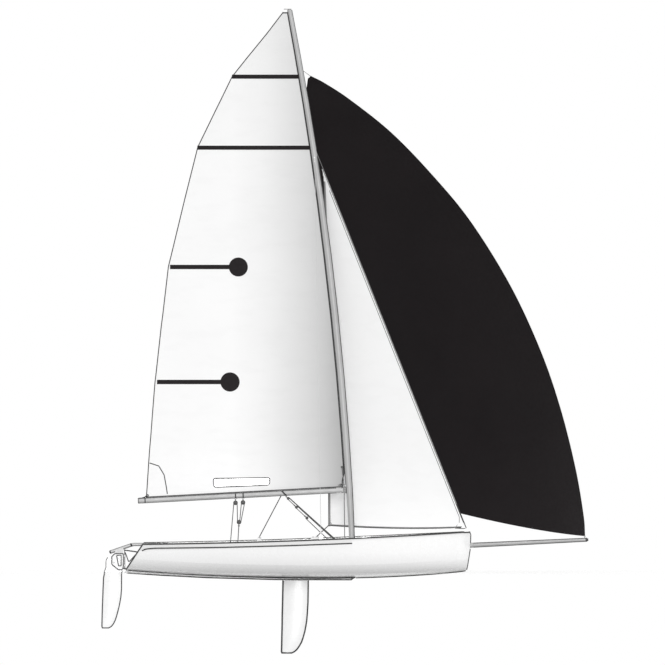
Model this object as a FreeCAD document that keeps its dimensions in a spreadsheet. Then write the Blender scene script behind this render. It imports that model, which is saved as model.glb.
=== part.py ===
"""Sailing dinghy, 4.5 m, rigged with mainsail, jib and asymmetric spinnaker.

Frame: +X to the bow, +Y to port, +Z up, in millimetres.
The origin is on the centreline, at half the hull's length, at the water's surface.
"""
import FreeCAD, Part
import math
import os

doc = FreeCAD.newDocument("dinghy")
sheet = doc.addObject("Spreadsheet::Sheet", "sizes")

# ---------------------------------------------------------------- driving sizes
SIZES = [
    # hull lines
    ("hull_length", 4500, "stem to the lower edge of the transom"),
    ("transom_rake", 227, "how far the transom's top lies ahead of its foot"),
    ("sheer_aft", 380, "height of the deck at the transom"),
    ("sheer_mid", 429, "height of the deck at half length"),
    ("sheer_bow", 536, "height of the deck at the stem"),
    ("stem_rake", 52, "how far the stem's foot lies behind its head"),
    ("stem_radius", 40, "rounding of the stem's head and foot"),
    ("half_beam_1", 800, "half beam at the transom"),
    ("half_beam_2", 868, "half beam, second station"),
    ("half_beam_3", 930, "half beam, third station"),
    ("half_beam_4", 963, "half beam amidships"),
    ("half_beam_5", 880, "half beam at the mast"),
    ("half_beam_6", 610, "half beam on the foredeck"),
    ("half_beam_7", 300, "half beam near the bow"),
    ("half_beam_8", 24, "half width of the stem"),
    ("keel_1", 30, "height of the bottom at the transom"),
    ("keel_2", -4, "height of the bottom, second station"),
    ("keel_3", -36, "height of the bottom, third station"),
    ("keel_4", -61, "height of the bottom amidships"),
    ("keel_5", -64, "height of the bottom at the mast"),
    ("keel_6", -32, "height of the bottom under the foredeck"),
    ("keel_7", 6, "height of the bottom near the bow"),
    ("keel_8", 38, "height of the stem's foot"),
    ("bilge_rise", 120, "height of the bilge above the bottom"),
    ("keel_band_width", 240, "width of the deeper band along the keel"),
    ("keel_band_depth", 31, "depth of the band along the keel"),
    ("keel_band_front", 720, "forward end of the band along the keel"),
    # deck moulding
    ("gunwale_depth", 70, "depth of the gunwale band"),
    ("gunwale_flare", 14, "how far the gunwale band stands out"),
    ("gunwale_front", 705, "forward end of the gunwale band"),
    ("foredeck_edge", 24, "depth of the foredeck's edge"),
    ("liner", 9, "thickness of the cockpit liner"),
    ("well_floor", 158, "height of the cockpit floor"),
    ("aft_deck", 420, "length of the deck behind the cockpit"),
    ("well_front", 830, "forward end of the cockpit"),
    ("well_half_width", 570, "half width of the cockpit"),
    ("well_front_half_width", 400, "half width of the cockpit at its forward end"),
    ("well_taper_start", 250, "where the cockpit starts to narrow"),
    ("well_corner", 90, "radius of the cockpit's corners"),
    ("notch_half_width", 440, "half width of the notch over the transom"),
    ("notch_floor", 278, "height of the notch over the transom"),
    # centreboard and its case
    ("board_thickness", 36, "thickness of the centreboard"),
    ("board_gap", 6, "gap on each side of the board"),
    ("board_chord", 334, "width of the centreboard"),
    ("board_front", 136, "front edge of the lowered board"),
    ("board_tip", -1048, "depth of the lowered board's tip"),
    ("board_sweep", 20, "how far the board's tip is swept aft"),
    ("board_pivot_setback", 105, "pivot behind the board's front edge"),
    ("board_pivot_z", 20, "height of the board's pivot"),
    ("board_head", 120, "board above its pivot"),
    ("case_wall", 12, "wall of the centreboard case"),
    ("case_gap", 12, "gap at the ends of the board's slot"),
    ("pivot_pin_r", 6, "radius of the board's pivot pin"),
    ("running_gap", 0.05, "radial gap of a turning fit"),
    # rudder
    ("steer_offset", 12, "rudder's turning axis behind the transom's foot"),
    ("pintle_r", 6, "radius of the pintle rod"),
    ("pintle_foot", 44, "foot of the pintle rod"),
    ("pintle_top", 306, "top of the pintle rod"),
    ("gantry_tube_r", 8, "radius of the gantry's tubes"),
    ("gantry_spread", 130, "half spread of the gantry on the transom"),
    ("stock_setback", 18, "front of the stock behind the turning axis"),
    ("stock_length", 152, "length of the stock's cheeks"),
    ("stock_foot", 40, "foot of the stock"),
    ("stock_top", 252, "top of the stock"),
    ("cheek_thickness", 6, "thickness of a stock cheek"),
    ("spacer_thickness", 16, "thickness of the stock's spacer"),
    ("blade_thickness", 26, "thickness of the rudder blade"),
    ("blade_gap", 6, "gap on each side of the blade"),
    ("blade_setback", 142, "blade's pivot behind the turning axis"),
    ("blade_pivot_z", 135, "height of the blade's pivot"),
    ("blade_head_r", 98, "radius of the blade's head"),
    ("blade_tip", -722, "depth of the blade's tip"),
    ("blade_bolt_r", 6, "radius of the blade's bolt"),
    ("tiller_length", 800, "tiller forward of the turning axis"),
    ("tiller_r", 15, "radius of the tiller's tube"),
    ("tiller_z", 370, "height of the tiller's tube"),
    ("tiller_bend_ahead", 103, "bend of the tiller ahead of the turning axis"),
    ("sleeve_r", 17, "radius of the tiller's sleeve"),
    ("sleeve_overhang", 26, "tiller's sleeve behind the stock"),
    ("sleeve_rise", 16, "end of the tiller's sleeve over the stock"),
    ("saddle_setback", 44, "tiller's saddle ahead of the stock's aft edge"),
    ("extension_length", 620, "length of the closed tiller extension"),
    ("extension_r", 10, "radius of the tiller extension"),
    # spars
    ("mast_foot_x", 712, "centre of the mast's foot"),
    ("mast_foot_z", 235, "height of the mast's foot"),
    ("mast_head_x", -110, "centre of the mast's head"),
    ("mast_head_z", 7356, "height of the mast's head"),
    ("mast_bend", 134, "bend of the mast"),
    ("mast_chord_foot", 66, "fore and aft width of the mast's foot"),
    ("mast_chord_lower", 84, "fore and aft width of the lower mast"),
    ("mast_chord_hounds", 70, "fore and aft width at the hounds"),
    ("mast_chord_head", 54, "fore and aft width of the mast's head"),
    ("mast_slimness", 0.78, "side width over fore and aft width"),
    ("crane_length", 98, "length of the masthead crane"),
    ("crane_thickness", 8, "thickness of the masthead crane"),
    ("crane_width", 26, "width of the masthead crane"),
    ("boom_depth", 66, "depth of the boom"),
    ("boom_width", 52, "width of the boom"),
    ("boom_front_z", 1082, "height of the boom's forward end"),
    ("boom_end_x", -2090, "aft end of the boom"),
    ("boom_end_z", 941, "height of the boom's aft end"),
    ("gooseneck_reach", 46, "gooseneck pin behind the mast"),
    ("gooseneck_pin_r", 5, "radius of the gooseneck pin"),
    ("gooseneck_lug", 6, "thickness of a gooseneck lug"),
    ("lug_gap", 0.4, "gap between a lug and the boom"),
    ("bowsprit_r", 25, "radius of the bowsprit at the hull"),
    ("bowsprit_tip_r", 18, "radius of the bowsprit's tip"),
    ("bowsprit_z", 359, "height of the bowsprit at the stem"),
    ("bowsprit_reach", 1540, "length of the bowsprit ahead of the stem"),
    ("bowsprit_tip_z", 433, "height of the bowsprit's tip"),
    ("bowsprit_bury", 340, "length of the bowsprit inside the bow"),
    ("collar_wall", 9, "wall of the bowsprit's collar"),
    ("collar_length", 34, "length of the bowsprit's collar"),
    # standing rigging
    ("hounds_z", 5483, "height where the forestay leaves the mast"),
    ("stay_r", 3, "radius of the forestay"),
    ("stay_setback", 50, "foot of the forestay behind the stem"),
    ("bow_plate_height", 44, "height of the forestay's plate"),
    ("shroud_r", 2.5, "radius of a shroud"),
    ("chainplate_x", 300, "chainplate along the hull"),
    ("chainplate_inset", 62, "chainplate inboard of the deck's edge"),
    ("chainplate_height", 60, "height of a chainplate"),
    ("plate_thickness", 5, "thickness of the small rigging plates"),
    # sails
    ("cloth", 6, "thickness of the sails as solids"),
    ("luff_gap", 7, "gap between mast and mainsail"),
    ("foot_gap", 0.4, "gap between boom and mainsail"),
    ("clew_inset", 104, "mainsail's clew ahead of the boom's end"),
    ("main_head_z", 7322, "height of the mainsail's head"),
    ("main_camber", 0.062, "depth of the mainsail over its width"),
    ("jib_head_z", 5274, "height of the jib's head"),
    ("jib_tack_z", 586, "height of the jib's tack"),
    ("jib_clew_x", 396, "clew of the jib along the hull"),
    ("jib_clew_y", 600, "clew of the jib to port"),
    ("jib_clew_z", 602, "height of the jib's clew"),
    ("jib_leech_x", 312, "head end of the jib's leech"),
    ("jib_camber", 0.075, "depth of the jib over its width"),
    ("stay_gap", 0.7, "gap between forestay and jib"),
    ("halyard_r", 3, "radius of the spinnaker's halyard and tack strop"),
    ("sail_gap", 0.3, "gap between the spinnaker and what holds it"),
    ("spinnaker_camber", 0.14, "depth of the spinnaker over its width"),
    # fittings
    ("strap_width", 48, "width of a toe strap"),
    ("strap_thickness", 4, "thickness of a toe strap"),
    ("strap_height", 84, "height of a toe strap over the floor"),
    ("strap_y", 250, "toe strap from the centreline"),
    ("strap_inset", 190, "aft end of a toe strap ahead of the cockpit's end"),
    ("strap_front", 60, "forward end of a toe strap"),
    ("step_length", 230, "length of the mast step"),
    ("step_width", 150, "width of the mast step"),
    ("sheet_base_x", -790, "mainsheet base along the hull"),
    ("sheet_base_r", 38, "radius of the mainsheet base"),
    ("sheet_base_height", 34, "height of the mainsheet base"),
    ("strop_r", 4, "radius of the mainsheet strop"),
    ("block_r", 27, "radius of a mainsheet block"),
    ("block_width", 20, "width of a mainsheet block"),
    ("lower_block_z", 662, "height of the lower mainsheet block"),
    ("boom_block_aft_x", -816, "aft boom block along the hull"),
    ("boom_block_front_x", -718, "forward boom block along the hull"),
    ("hanger", 34, "length of a boom block's hanger"),
    ("fairlead_x", 226, "jib fairlead along the hull"),
    ("fairlead_y", 655, "jib fairlead from the centreline"),
    ("fairlead_length", 90, "length of a jib fairlead"),
    ("fairlead_height", 36, "height of a jib fairlead"),
    ("sheet_block_x", -505, "spinnaker block along the hull"),
    ("sheet_block_inset", 70, "spinnaker block inboard of the deck's edge"),
    ("sheet_block_r", 24, "radius of a spinnaker block"),
    # sail tables
    ("main_width_1", 55, "width of the mainsail, row 1 from the head"),
    ("main_width_2", 312, "width of the mainsail, row 2 from the head"),
    ("main_width_3", 639, "width of the mainsail, row 3 from the head"),
    ("main_width_4", 873, "width of the mainsail, row 4 from the head"),
    ("main_width_5", 1159, "width of the mainsail, row 5 from the head"),
    ("main_width_6", 1471, "width of the mainsail, row 6 from the head"),
    ("main_width_7", 1741, "width of the mainsail, row 7 from the head"),
    ("main_width_8", 2058, "width of the mainsail, row 8 from the head"),
    ("main_width_9", 2237, "width of the mainsail, row 9 from the head"),
    ("main_width_10", 2390, "width of the mainsail, row 10 from the head"),
    ("main_width_11", 2530, "width of the mainsail, row 11 from the head"),
    ("kite_luff_x_1", 3748, "spinnaker's luff x, row 1 from the foot"),
    ("kite_luff_y_1", 0, "spinnaker's luff y, row 1 from the foot"),
    ("kite_luff_z_1", 484, "spinnaker's luff z, row 1 from the foot"),
    ("kite_leech_x_1", -13, "spinnaker's leech x, row 1 from the foot"),
    ("kite_leech_y_1", 1500, "spinnaker's leech y, row 1 from the foot"),
    ("kite_leech_z_1", 1402, "spinnaker's leech z, row 1 from the foot"),
    ("kite_luff_x_2", 3729, "spinnaker's luff x, row 2 from the foot"),
    ("kite_luff_y_2", 60, "spinnaker's luff y, row 2 from the foot"),
    ("kite_luff_z_2", 755, "spinnaker's luff z, row 2 from the foot"),
    ("kite_leech_x_2", -26, "spinnaker's leech x, row 2 from the foot"),
    ("kite_leech_y_2", 1510, "spinnaker's leech y, row 2 from the foot"),
    ("kite_leech_z_2", 1670, "spinnaker's leech z, row 2 from the foot"),
    ("kite_luff_x_3", 3625, "spinnaker's luff x, row 3 from the foot"),
    ("kite_luff_y_3", 220, "spinnaker's luff y, row 3 from the foot"),
    ("kite_luff_z_3", 1369, "spinnaker's luff z, row 3 from the foot"),
    ("kite_leech_x_3", -65, "spinnaker's leech x, row 3 from the foot"),
    ("kite_leech_y_3", 1490, "spinnaker's leech y, row 3 from the foot"),
    ("kite_leech_z_3", 2192, "spinnaker's leech z, row 3 from the foot"),
    ("kite_luff_x_4", 3429, "spinnaker's luff x, row 4 from the foot"),
    ("kite_luff_y_4", 380, "spinnaker's luff y, row 4 from the foot"),
    ("kite_luff_z_4", 2152, "spinnaker's luff z, row 4 from the foot"),
    ("kite_leech_x_4", -98, "spinnaker's leech x, row 4 from the foot"),
    ("kite_leech_y_4", 1430, "spinnaker's leech y, row 4 from the foot"),
    ("kite_leech_z_4", 2844, "spinnaker's leech z, row 4 from the foot"),
    ("kite_luff_x_5", 3168, "spinnaker's luff x, row 5 from the foot"),
    ("kite_luff_y_5", 480, "spinnaker's luff y, row 5 from the foot"),
    ("kite_luff_z_5", 2910, "spinnaker's luff z, row 5 from the foot"),
    ("kite_leech_x_5", -118, "spinnaker's leech x, row 5 from the foot"),
    ("kite_leech_y_5", 1330, "spinnaker's leech y, row 5 from the foot"),
    ("kite_leech_z_5", 3432, "spinnaker's leech z, row 5 from the foot"),
    ("kite_luff_x_6", 2776, "spinnaker's luff x, row 6 from the foot"),
    ("kite_luff_y_6", 560, "spinnaker's luff y, row 6 from the foot"),
    ("kite_luff_z_6", 3752, "spinnaker's luff z, row 6 from the foot"),
    ("kite_leech_x_6", -118, "spinnaker's leech x, row 6 from the foot"),
    ("kite_leech_y_6", 1180, "spinnaker's leech y, row 6 from the foot"),
    ("kite_leech_z_6", 4059, "spinnaker's leech z, row 6 from the foot"),
    ("kite_luff_x_7", 2253, "spinnaker's luff x, row 7 from the foot"),
    ("kite_luff_y_7", 580, "spinnaker's luff y, row 7 from the foot"),
    ("kite_luff_z_7", 4593, "spinnaker's luff z, row 7 from the foot"),
    ("kite_leech_x_7", -91, "spinnaker's leech x, row 7 from the foot"),
    ("kite_leech_y_7", 1000, "spinnaker's leech y, row 7 from the foot"),
    ("kite_leech_z_7", 4673, "spinnaker's leech z, row 7 from the foot"),
    ("kite_luff_x_8", 1731, "spinnaker's luff x, row 8 from the foot"),
    ("kite_luff_y_8", 540, "spinnaker's luff y, row 8 from the foot"),
    ("kite_luff_z_8", 5222, "spinnaker's luff z, row 8 from the foot"),
    ("kite_leech_x_8", -39, "spinnaker's leech x, row 8 from the foot"),
    ("kite_leech_y_8", 790, "spinnaker's leech y, row 8 from the foot"),
    ("kite_leech_z_8", 5195, "spinnaker's leech z, row 8 from the foot"),
    ("kite_luff_x_9", 1209, "spinnaker's luff x, row 9 from the foot"),
    ("kite_luff_y_9", 440, "spinnaker's luff y, row 9 from the foot"),
    ("kite_luff_z_9", 5756, "spinnaker's luff z, row 9 from the foot"),
    ("kite_leech_x_9", 13, "spinnaker's leech x, row 9 from the foot"),
    ("kite_leech_y_9", 570, "spinnaker's leech y, row 9 from the foot"),
    ("kite_leech_z_9", 5679, "spinnaker's leech z, row 9 from the foot"),
    ("kite_luff_x_10", 686, "spinnaker's luff x, row 10 from the foot"),
    ("kite_luff_y_10", 300, "spinnaker's luff y, row 10 from the foot"),
    ("kite_luff_z_10", 6170, "spinnaker's luff z, row 10 from the foot"),
    ("kite_leech_x_10", 78, "spinnaker's leech x, row 10 from the foot"),
    ("kite_leech_y_10", 350, "spinnaker's leech y, row 10 from the foot"),
    ("kite_leech_z_10", 6070, "spinnaker's leech z, row 10 from the foot"),
    ("kite_luff_x_11", 353, "spinnaker's luff x, row 11 from the foot"),
    ("kite_luff_y_11", 180, "spinnaker's luff y, row 11 from the foot"),
    ("kite_luff_z_11", 6387, "spinnaker's luff z, row 11 from the foot"),
    ("kite_leech_x_11", 117, "spinnaker's leech x, row 11 from the foot"),
    ("kite_leech_y_11", 190, "spinnaker's leech y, row 11 from the foot"),
    ("kite_leech_z_11", 6315, "spinnaker's leech z, row 11 from the foot"),
    ("kite_luff_x_12", 162, "spinnaker's luff x, row 12 from the foot"),
    ("kite_luff_y_12", 70, "spinnaker's luff y, row 12 from the foot"),
    ("kite_luff_z_12", 6484, "spinnaker's luff z, row 12 from the foot"),
    ("kite_leech_x_12", 138, "spinnaker's leech x, row 12 from the foot"),
    ("kite_leech_y_12", 72, "spinnaker's leech y, row 12 from the foot"),
    ("kite_leech_z_12", 6462, "spinnaker's leech z, row 12 from the foot"),
]

# Mainsail rows, from the head down, as shares of its height.
MAIN_SHARES = [0.0000, 0.0439, 0.0967, 0.1359, 0.2063, 0.2847, 0.3960, 0.5352,
               0.6596, 0.7776, 0.9153]
KITE_NAMES = ["luff_x", "luff_y", "luff_z", "leech_x", "leech_y", "leech_z"]
KITE_ROWS = 12
for row, (alias, value, note) in enumerate(SIZES):
    sheet.set("A%d" % (row + 1), note)
    sheet.set("B%d" % (row + 1), str(value))
    sheet.setAlias("B%d" % (row + 1), alias)
doc.recompute()


def size(alias):
    return float(sheet.get(alias))


# ---------------------------------------------------------------- helpers
nodes = {}


def vec(x, y, z):
    return FreeCAD.Vector(x, y, z)


def keep(label, obj):
    """Registers an object as one sub-part of the boat."""
    obj.Label = label
    nodes[label] = obj
    return obj


def feature(label, shape):
    """A sub-part whose free-form shape is set by this file."""
    obj = doc.addObject("Part::Feature", label)
    obj.Shape = shape
    return keep(label, obj)


def bind(obj, **expressions):
    for prop, expression in expressions.items():
        obj.setExpression(prop, expression)


def aim(start, direction):
    """Placement that puts an object's own +Z along a direction."""
    turn = FreeCAD.Rotation(vec(0, 0, 1), direction)
    return FreeCAD.Placement(start, turn)


def cylinder(name, radius, height, placement):
    obj = doc.addObject("Part::Cylinder", name)
    bind(obj, Radius=radius, Height=height)
    obj.Placement = placement
    return obj


def cuboid(name, length, width, height, corner):
    obj = doc.addObject("Part::Box", name)
    bind(obj, Length=length, Width=width, Height=height)
    obj.Placement = FreeCAD.Placement(corner, FreeCAD.Rotation())
    return obj


def rod(start, end, radius):
    direction = end - start
    return Part.makeCylinder(radius, direction.Length, start, direction)


def fused(label, parts):
    obj = doc.addObject("Part::MultiFuse", label)
    obj.Shapes = parts
    return keep(label, obj)


def cut(label, base, tool):
    obj = doc.addObject("Part::Cut", label)
    obj.Base = base
    obj.Tool = tool
    return keep(label, obj)


def polygon_face(points):
    return Part.Face(Part.makePolygon(points + [points[0]]))


def side_prism(points, y_from, y_to):
    """A prism across the boat from a profile of (x, z) points."""
    face = polygon_face([vec(x, y_from, z) for x, z in points])
    return face.extrude(vec(0, y_to - y_from, 0))


def plan_prism(points, z_from, z_to):
    """A prism upward from a plan of (x, y) points."""
    face = polygon_face([vec(x, y, z_from) for x, y in points])
    return face.extrude(vec(0, 0, z_to - z_from))


def padded_body(label, points, thickness, holes=()):
    """A body with one sketch in its own XY plane, padded to a bound thickness."""
    body = doc.addObject("PartDesign::Body", label)
    planes = [f for f in body.Origin.OriginFeatures if f.Role == "XY_Plane"]
    sketch = body.newObject("Sketcher::SketchObject", label + "_sketch")
    sketch.AttachmentSupport = [(planes[0], "")]
    sketch.MapMode = "FlatFace"
    corners = [vec(a, b, 0) for a, b in points]
    for start, end in zip(corners, corners[1:] + corners[:1]):
        sketch.addGeometry(Part.LineSegment(start, end), False)
    for a, b, radius in holes:
        sketch.addGeometry(Part.Circle(vec(a, b, 0), vec(0, 0, 1), radius), False)
    pad = body.newObject("PartDesign::Pad", label + "_pad")
    pad.Profile = sketch
    pad.Midplane = True
    pad.setExpression("Length", thickness)
    body.Tip = pad
    return body


# A body's own XY plane laid into the boat's XZ plane: own x stays x, own y becomes z.
UPRIGHT = FreeCAD.Rotation(vec(1, 0, 0), 90)
UP = vec(0, 0, 1)
RIGHT = vec(0, 1, 0)
REACH = 4 * size("half_beam_4")

# ---------------------------------------------------------------- hull lines
half = size("hull_length") / 2
well_aft = -half + size("aft_deck")
axis_x = -half - size("steer_offset")
stay_foot_x = half - size("stay_setback")
STATIONS = [-1.03, -0.80, -0.53, -0.13, 0.31, 0.67, 0.89, 1.0]
transom_top_x = -half + size("transom_rake")
TALL = size("sheer_bow") + 150


def sheer_arc():
    start = vec(transom_top_x, 0, size("sheer_aft"))
    middle = vec(0, 0, size("sheer_mid"))
    end = vec(half, 0, size("sheer_bow"))
    return Part.Arc(start, middle, end).toShape()


SHEER = sheer_arc().Curve


def deck_z(x):
    """Height of the deck: the sheer is one flat arc over the whole length."""
    centre = SHEER.Center
    return centre.z - math.sqrt(SHEER.Radius ** 2 - (x - centre.x) ** 2)


def section(index, flare):
    """One closed cross-section, cut square above the deck."""
    x = STATIONS[index] * half
    beam = size("half_beam_%d" % (index + 1)) + flare
    keel = size("keel_%d" % (index + 1))
    rise = size("bilge_rise")
    deck = deck_z(min(max(x, transom_top_x), half))
    flat = vec(x, 0.62 * beam, keel + 0.32 * rise)
    turn = vec(x, 0.84 * beam, keel + 0.72 * rise)
    bilge = vec(x, 0.94 * beam, keel + 1.45 * rise)
    lean = (beam - bilge.y) / (deck - bilge.z)
    top = vec(x, beam + lean * (TALL - deck), TALL)
    mirror = [vec(p.x, -p.y, p.z) for p in (flat, turn, bilge, top)]
    edges = [
        Part.makeLine(vec(x, 0, keel), flat),
        Part.Arc(flat, turn, bilge).toShape(),
        Part.makeLine(bilge, top),
        Part.makeLine(top, mirror[3]),
        Part.makeLine(mirror[3], mirror[2]),
        Part.Arc(mirror[2], mirror[1], mirror[0]).toShape(),
        Part.makeLine(mirror[0], vec(x, 0, keel)),
    ]
    return Part.Wire(edges)


def lines(flare):
    wires = [section(index, flare) for index in range(len(STATIONS))]
    return Part.makeLoft(wires, True, False)


def profile_face(top_curve):
    """Side profile between transom, stem and a top curve."""
    stem_foot = vec(half - size("stem_rake"), 0, size("keel_8"))
    edges = [top_curve]
    low = -TALL
    start = top_curve.valueAt(top_curve.FirstParameter)
    end = top_curve.valueAt(top_curve.LastParameter)
    slope = size("transom_rake") / (size("sheer_aft") - size("keel_1"))
    aft_low = vec(start.x - slope * (start.z - low), 0, low)
    edges.append(Part.makeLine(end, vec(end.x, 0, low)))
    edges.append(Part.makeLine(vec(end.x, 0, low), aft_low))
    edges.append(Part.makeLine(aft_low, start))
    return Part.Face(Part.Wire(Part.__sortEdges__(edges)))


def across(face):
    moved = face.copy()
    moved.translate(vec(0, -REACH / 2, 0))
    return moved.extrude(vec(0, REACH, 0))


def sheer_band(x_from, x_to, depth):
    """Everything above a line that runs a given depth below the deck."""
    steps = 24
    xs = [x_from + (x_to - x_from) * i / steps for i in range(steps + 1)]
    low = [(x, deck_z(min(max(x, transom_top_x), half)) - depth) for x in xs]
    high = [(x_to, 2 * TALL), (x_from, 2 * TALL)]
    return side_prism(low + high, -REACH / 2, REACH / 2)


def well(grow):
    """The cockpit, grown by the liner's thickness for the hull's side of it."""
    aft = well_aft - grow
    front = size("well_front") + grow
    wide = size("well_half_width") + grow
    narrow = size("well_front_half_width") + grow
    bend = size("well_taper_start")
    plan = [(aft, -wide), (bend, -wide), (front, -narrow), (front, narrow), (bend, wide), (aft, wide)]
    solid = plan_prism(plan, size("well_floor") - grow, 2 * TALL)
    upright = [e for e in solid.Edges if abs(e.tangentAt(e.FirstParameter).z) > 0.9]
    return solid.makeFillet(size("well_corner") + grow, upright)


def notch(grow):
    wide = size("notch_half_width") + grow
    floor = size("notch_floor") - grow
    length = well_aft + 2 * size("well_corner") + half + 400
    corner = vec(-half - 400, -wide, floor)
    return Part.makeBox(length, 2 * wide, 2 * TALL, corner)


def stem_cutter():
    """Rounds the stem's head and foot in side view."""
    radius = size("stem_radius")
    rake = size("stem_rake")
    top = size("sheer_bow")
    foot = size("keel_8")
    far = half + 300
    profile = [
        (half - radius, top + 2), (half - 0.29 * radius, top - 0.29 * radius), (half, top - radius),
        (half - 0.1 * rake, 0.6 * top), (half - 0.8 * rake, 0.1 * top + foot),
        (half - 1.1 * rake, foot - 0.3 * radius), (half - 1.4 * rake, -TALL), (far, -TALL), (far, 2 * TALL),
        (half - radius, 2 * TALL),
    ]
    return side_prism(profile, -REACH / 2, REACH / 2)


def board_slot(z_from, z_to):
    """The slot that the centreboard drops and swings in."""
    wide = size("board_thickness") + 2 * size("board_gap")
    pivot = size("board_front") - size("board_pivot_setback")
    length = size("board_pivot_z") - size("board_tip")
    rise = size("board_chord") - size("board_pivot_setback") + size("board_sweep")
    aft = pivot - math.hypot(length, rise) - size("case_gap")
    front = max(size("board_front"), pivot + size("board_head") * 1.1) + size("case_gap")
    return Part.makeBox(front - aft, wide, z_to - z_from, vec(aft, -wide / 2, z_from))


envelope = across(profile_face(sheer_arc()))
bare = lines(0).common(envelope)
keel_wide = size("keel_band_width") / 2
keel_points = []
for index in range(5):
    keel_points.append((STATIONS[index] * half, size("keel_%d" % (index + 1)) - size("keel_band_depth")))
keel_points.append((size("keel_band_front"), size("keel_5")))
keel_points.append((size("keel_band_front"), size("keel_5") + 60))
keel_points.append((-half * 1.03, size("keel_1") + 60))
keel_points = [p for p in keel_points if p[0] <= size("keel_band_front")]
keel_band = side_prism(keel_points, -keel_wide, keel_wide).common(envelope)
bare = bare.fuse(keel_band).cut(stem_cutter())

gunwale_zone = sheer_band(-half - 400, size("gunwale_front"), size("gunwale_depth"))
foredeck_zone = sheer_band(size("gunwale_front"), half + 300, size("foredeck_edge"))
outer_well = well(size("liner")).fuse(notch(size("liner")))
inner_well = well(0).fuse(notch(0))
gunwale = lines(size("gunwale_flare")).common(envelope).common(gunwale_zone)
foredeck = bare.common(foredeck_zone)
liner = bare.common(outer_well)
slot_low = size("keel_4") - 4 * size("keel_band_depth")
slot_high = size("well_floor") + 50
slot = board_slot(slot_low, slot_high)
pivot = vec(size("board_front") - size("board_pivot_setback"), 0, size("board_pivot_z"))
pin_half = size("board_thickness") / 2 + size("board_gap") + 24
pin_start = vec(pivot.x, -pin_half, pivot.z)
pin = Part.makeCylinder(size("pivot_pin_r"), 2 * pin_half, pin_start, RIGHT)

sprit_start = vec(half, 0, size("bowsprit_z"))
sprit_tip = vec(half + size("bowsprit_reach"), 0, size("bowsprit_tip_z"))
sprit_way = (sprit_tip - sprit_start).normalize()
sprit_heel = sprit_start - sprit_way * size("bowsprit_bury")
sprit_hole = rod(sprit_heel, sprit_start + sprit_way * 60, size("bowsprit_r"))

deck_shape = gunwale.fuse(foredeck).fuse(liner).cut(inner_well).cut(slot)
hull_shape = bare.cut(gunwale_zone).cut(foredeck_zone).cut(outer_well).cut(slot).cut(pin)
hull_shape = hull_shape.cut(sprit_hole)
feature("hull", hull_shape)
feature("deck", deck_shape)


def deck_edge(x):
    """Half width of the deck at a station."""
    line = Part.makeLine(vec(x, 0, deck_z(x) - 6), vec(x, REACH / 2, deck_z(x) - 6))
    return max(v.Point.y for v in line.common(gunwale.fuse(foredeck)).Vertexes)


# ---------------------------------------------------------------- centreboard and its case
case_floor = size("well_floor")
board_rise = size("board_chord") - size("board_pivot_setback")
case_inside = size("board_pivot_z") + board_rise + size("board_sweep") + size("case_gap")
slot_box = board_slot(case_floor, case_inside).BoundBox
wall = size("case_wall")
outer_case = Part.makeBox(
    slot_box.XLength + 2 * wall,
    slot_box.YLength + 2 * wall,
    case_inside + wall - case_floor,
    vec(slot_box.XMin - wall, slot_box.YMin - wall, case_floor),
)
case_ends = [e for e in outer_case.Edges if abs(e.tangentAt(e.FirstParameter).z) > 0.9]
case_shape = outer_case.makeFillet(0.6 * wall, case_ends).cut(board_slot(case_floor, case_inside))
feature("centreboard_case", case_shape)
case_top = case_inside + wall

pivot_pin = doc.addObject("Part::Cylinder", "centreboard_pin")
pivot_pin.setExpression("Radius", "sizes.pivot_pin_r")
pivot_pin.setExpression("Height", "sizes.board_thickness + 2 * sizes.board_gap + 48")
pivot_pin.Placement = aim(pin_start, RIGHT)
keep("centreboard_pin", pivot_pin)


def foil(x_aft, x_front, thickness, z):
    """Closed foil section of two long arcs, a round nose and a thin tail."""
    nose = 0.22 * thickness
    tail = 0.06 * thickness
    middle = (x_aft + x_front) / 2
    edges = [
        Part.Arc(vec(x_aft, tail, z), vec(middle, thickness / 2, z), vec(x_front - nose, nose, z)).toShape(),
        Part.Arc(vec(x_front - nose, nose, z), vec(x_front, 0, z), vec(x_front - nose, -nose, z)).toShape(),
        Part.Arc(vec(x_front - nose, -nose, z), vec(middle, -thickness / 2, z), vec(x_aft, -tail, z)).toShape(),
        Part.makeLine(vec(x_aft, -tail, z), vec(x_aft, tail, z)),
    ]
    return Part.Wire(edges)


def foil_loft(x_aft, x_front, thickness, z_top, z_tip, shares):
    """Loft of foil sections down to the tip: each share is (depth, aft, front, thickness)."""
    wires = []
    chord = x_front - x_aft
    for depth, aft, front, thick in shares:
        z = z_top + (z_tip - z_top) * depth
        wires.append(foil(x_aft + aft * chord, x_front - front * chord, thickness * thick, z))
    return Part.makeLoft(wires, True, True)


board_aft = size("board_front") - size("board_chord")
board_exit = size("keel_4") - size("keel_band_depth") - 10
sweep = size("board_sweep") / size("board_chord")
board_blade = foil_loft(
    board_aft, size("board_front"), size("board_thickness"), board_exit, size("board_tip"),
    [(0, 0, 0, 1), (0.3, -0.3 * sweep, 0.012, 0.985), (0.461, -0.5 * sweep, 0.039, 0.97),
     (0.544, -0.55 * sweep, 0.059, 0.96), (0.627, -0.6 * sweep, 0.094, 0.94), (0.71, -0.7 * sweep, 0.141, 0.91),
     (0.792, -0.8 * sweep, 0.207, 0.87), (0.85, -0.85 * sweep, 0.265, 0.82), (0.9, -0.9 * sweep, 0.345, 0.75),
     (0.944, -0.95 * sweep, 0.43, 0.66), (0.972, -sweep, 0.512, 0.58), (0.987, -sweep, 0.58, 0.52),
     (1.0, -sweep, 0.66, 0.45)],
)
head_top = size("board_pivot_z") + size("board_head")
head_points = [
    (board_aft, board_exit), (size("board_front"), board_exit), (size("board_front"), size("board_pivot_z") + 20),
    (pivot.x + 20, head_top), (board_aft + 96, head_top), (board_aft, size("board_pivot_z") + 10),
]
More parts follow.
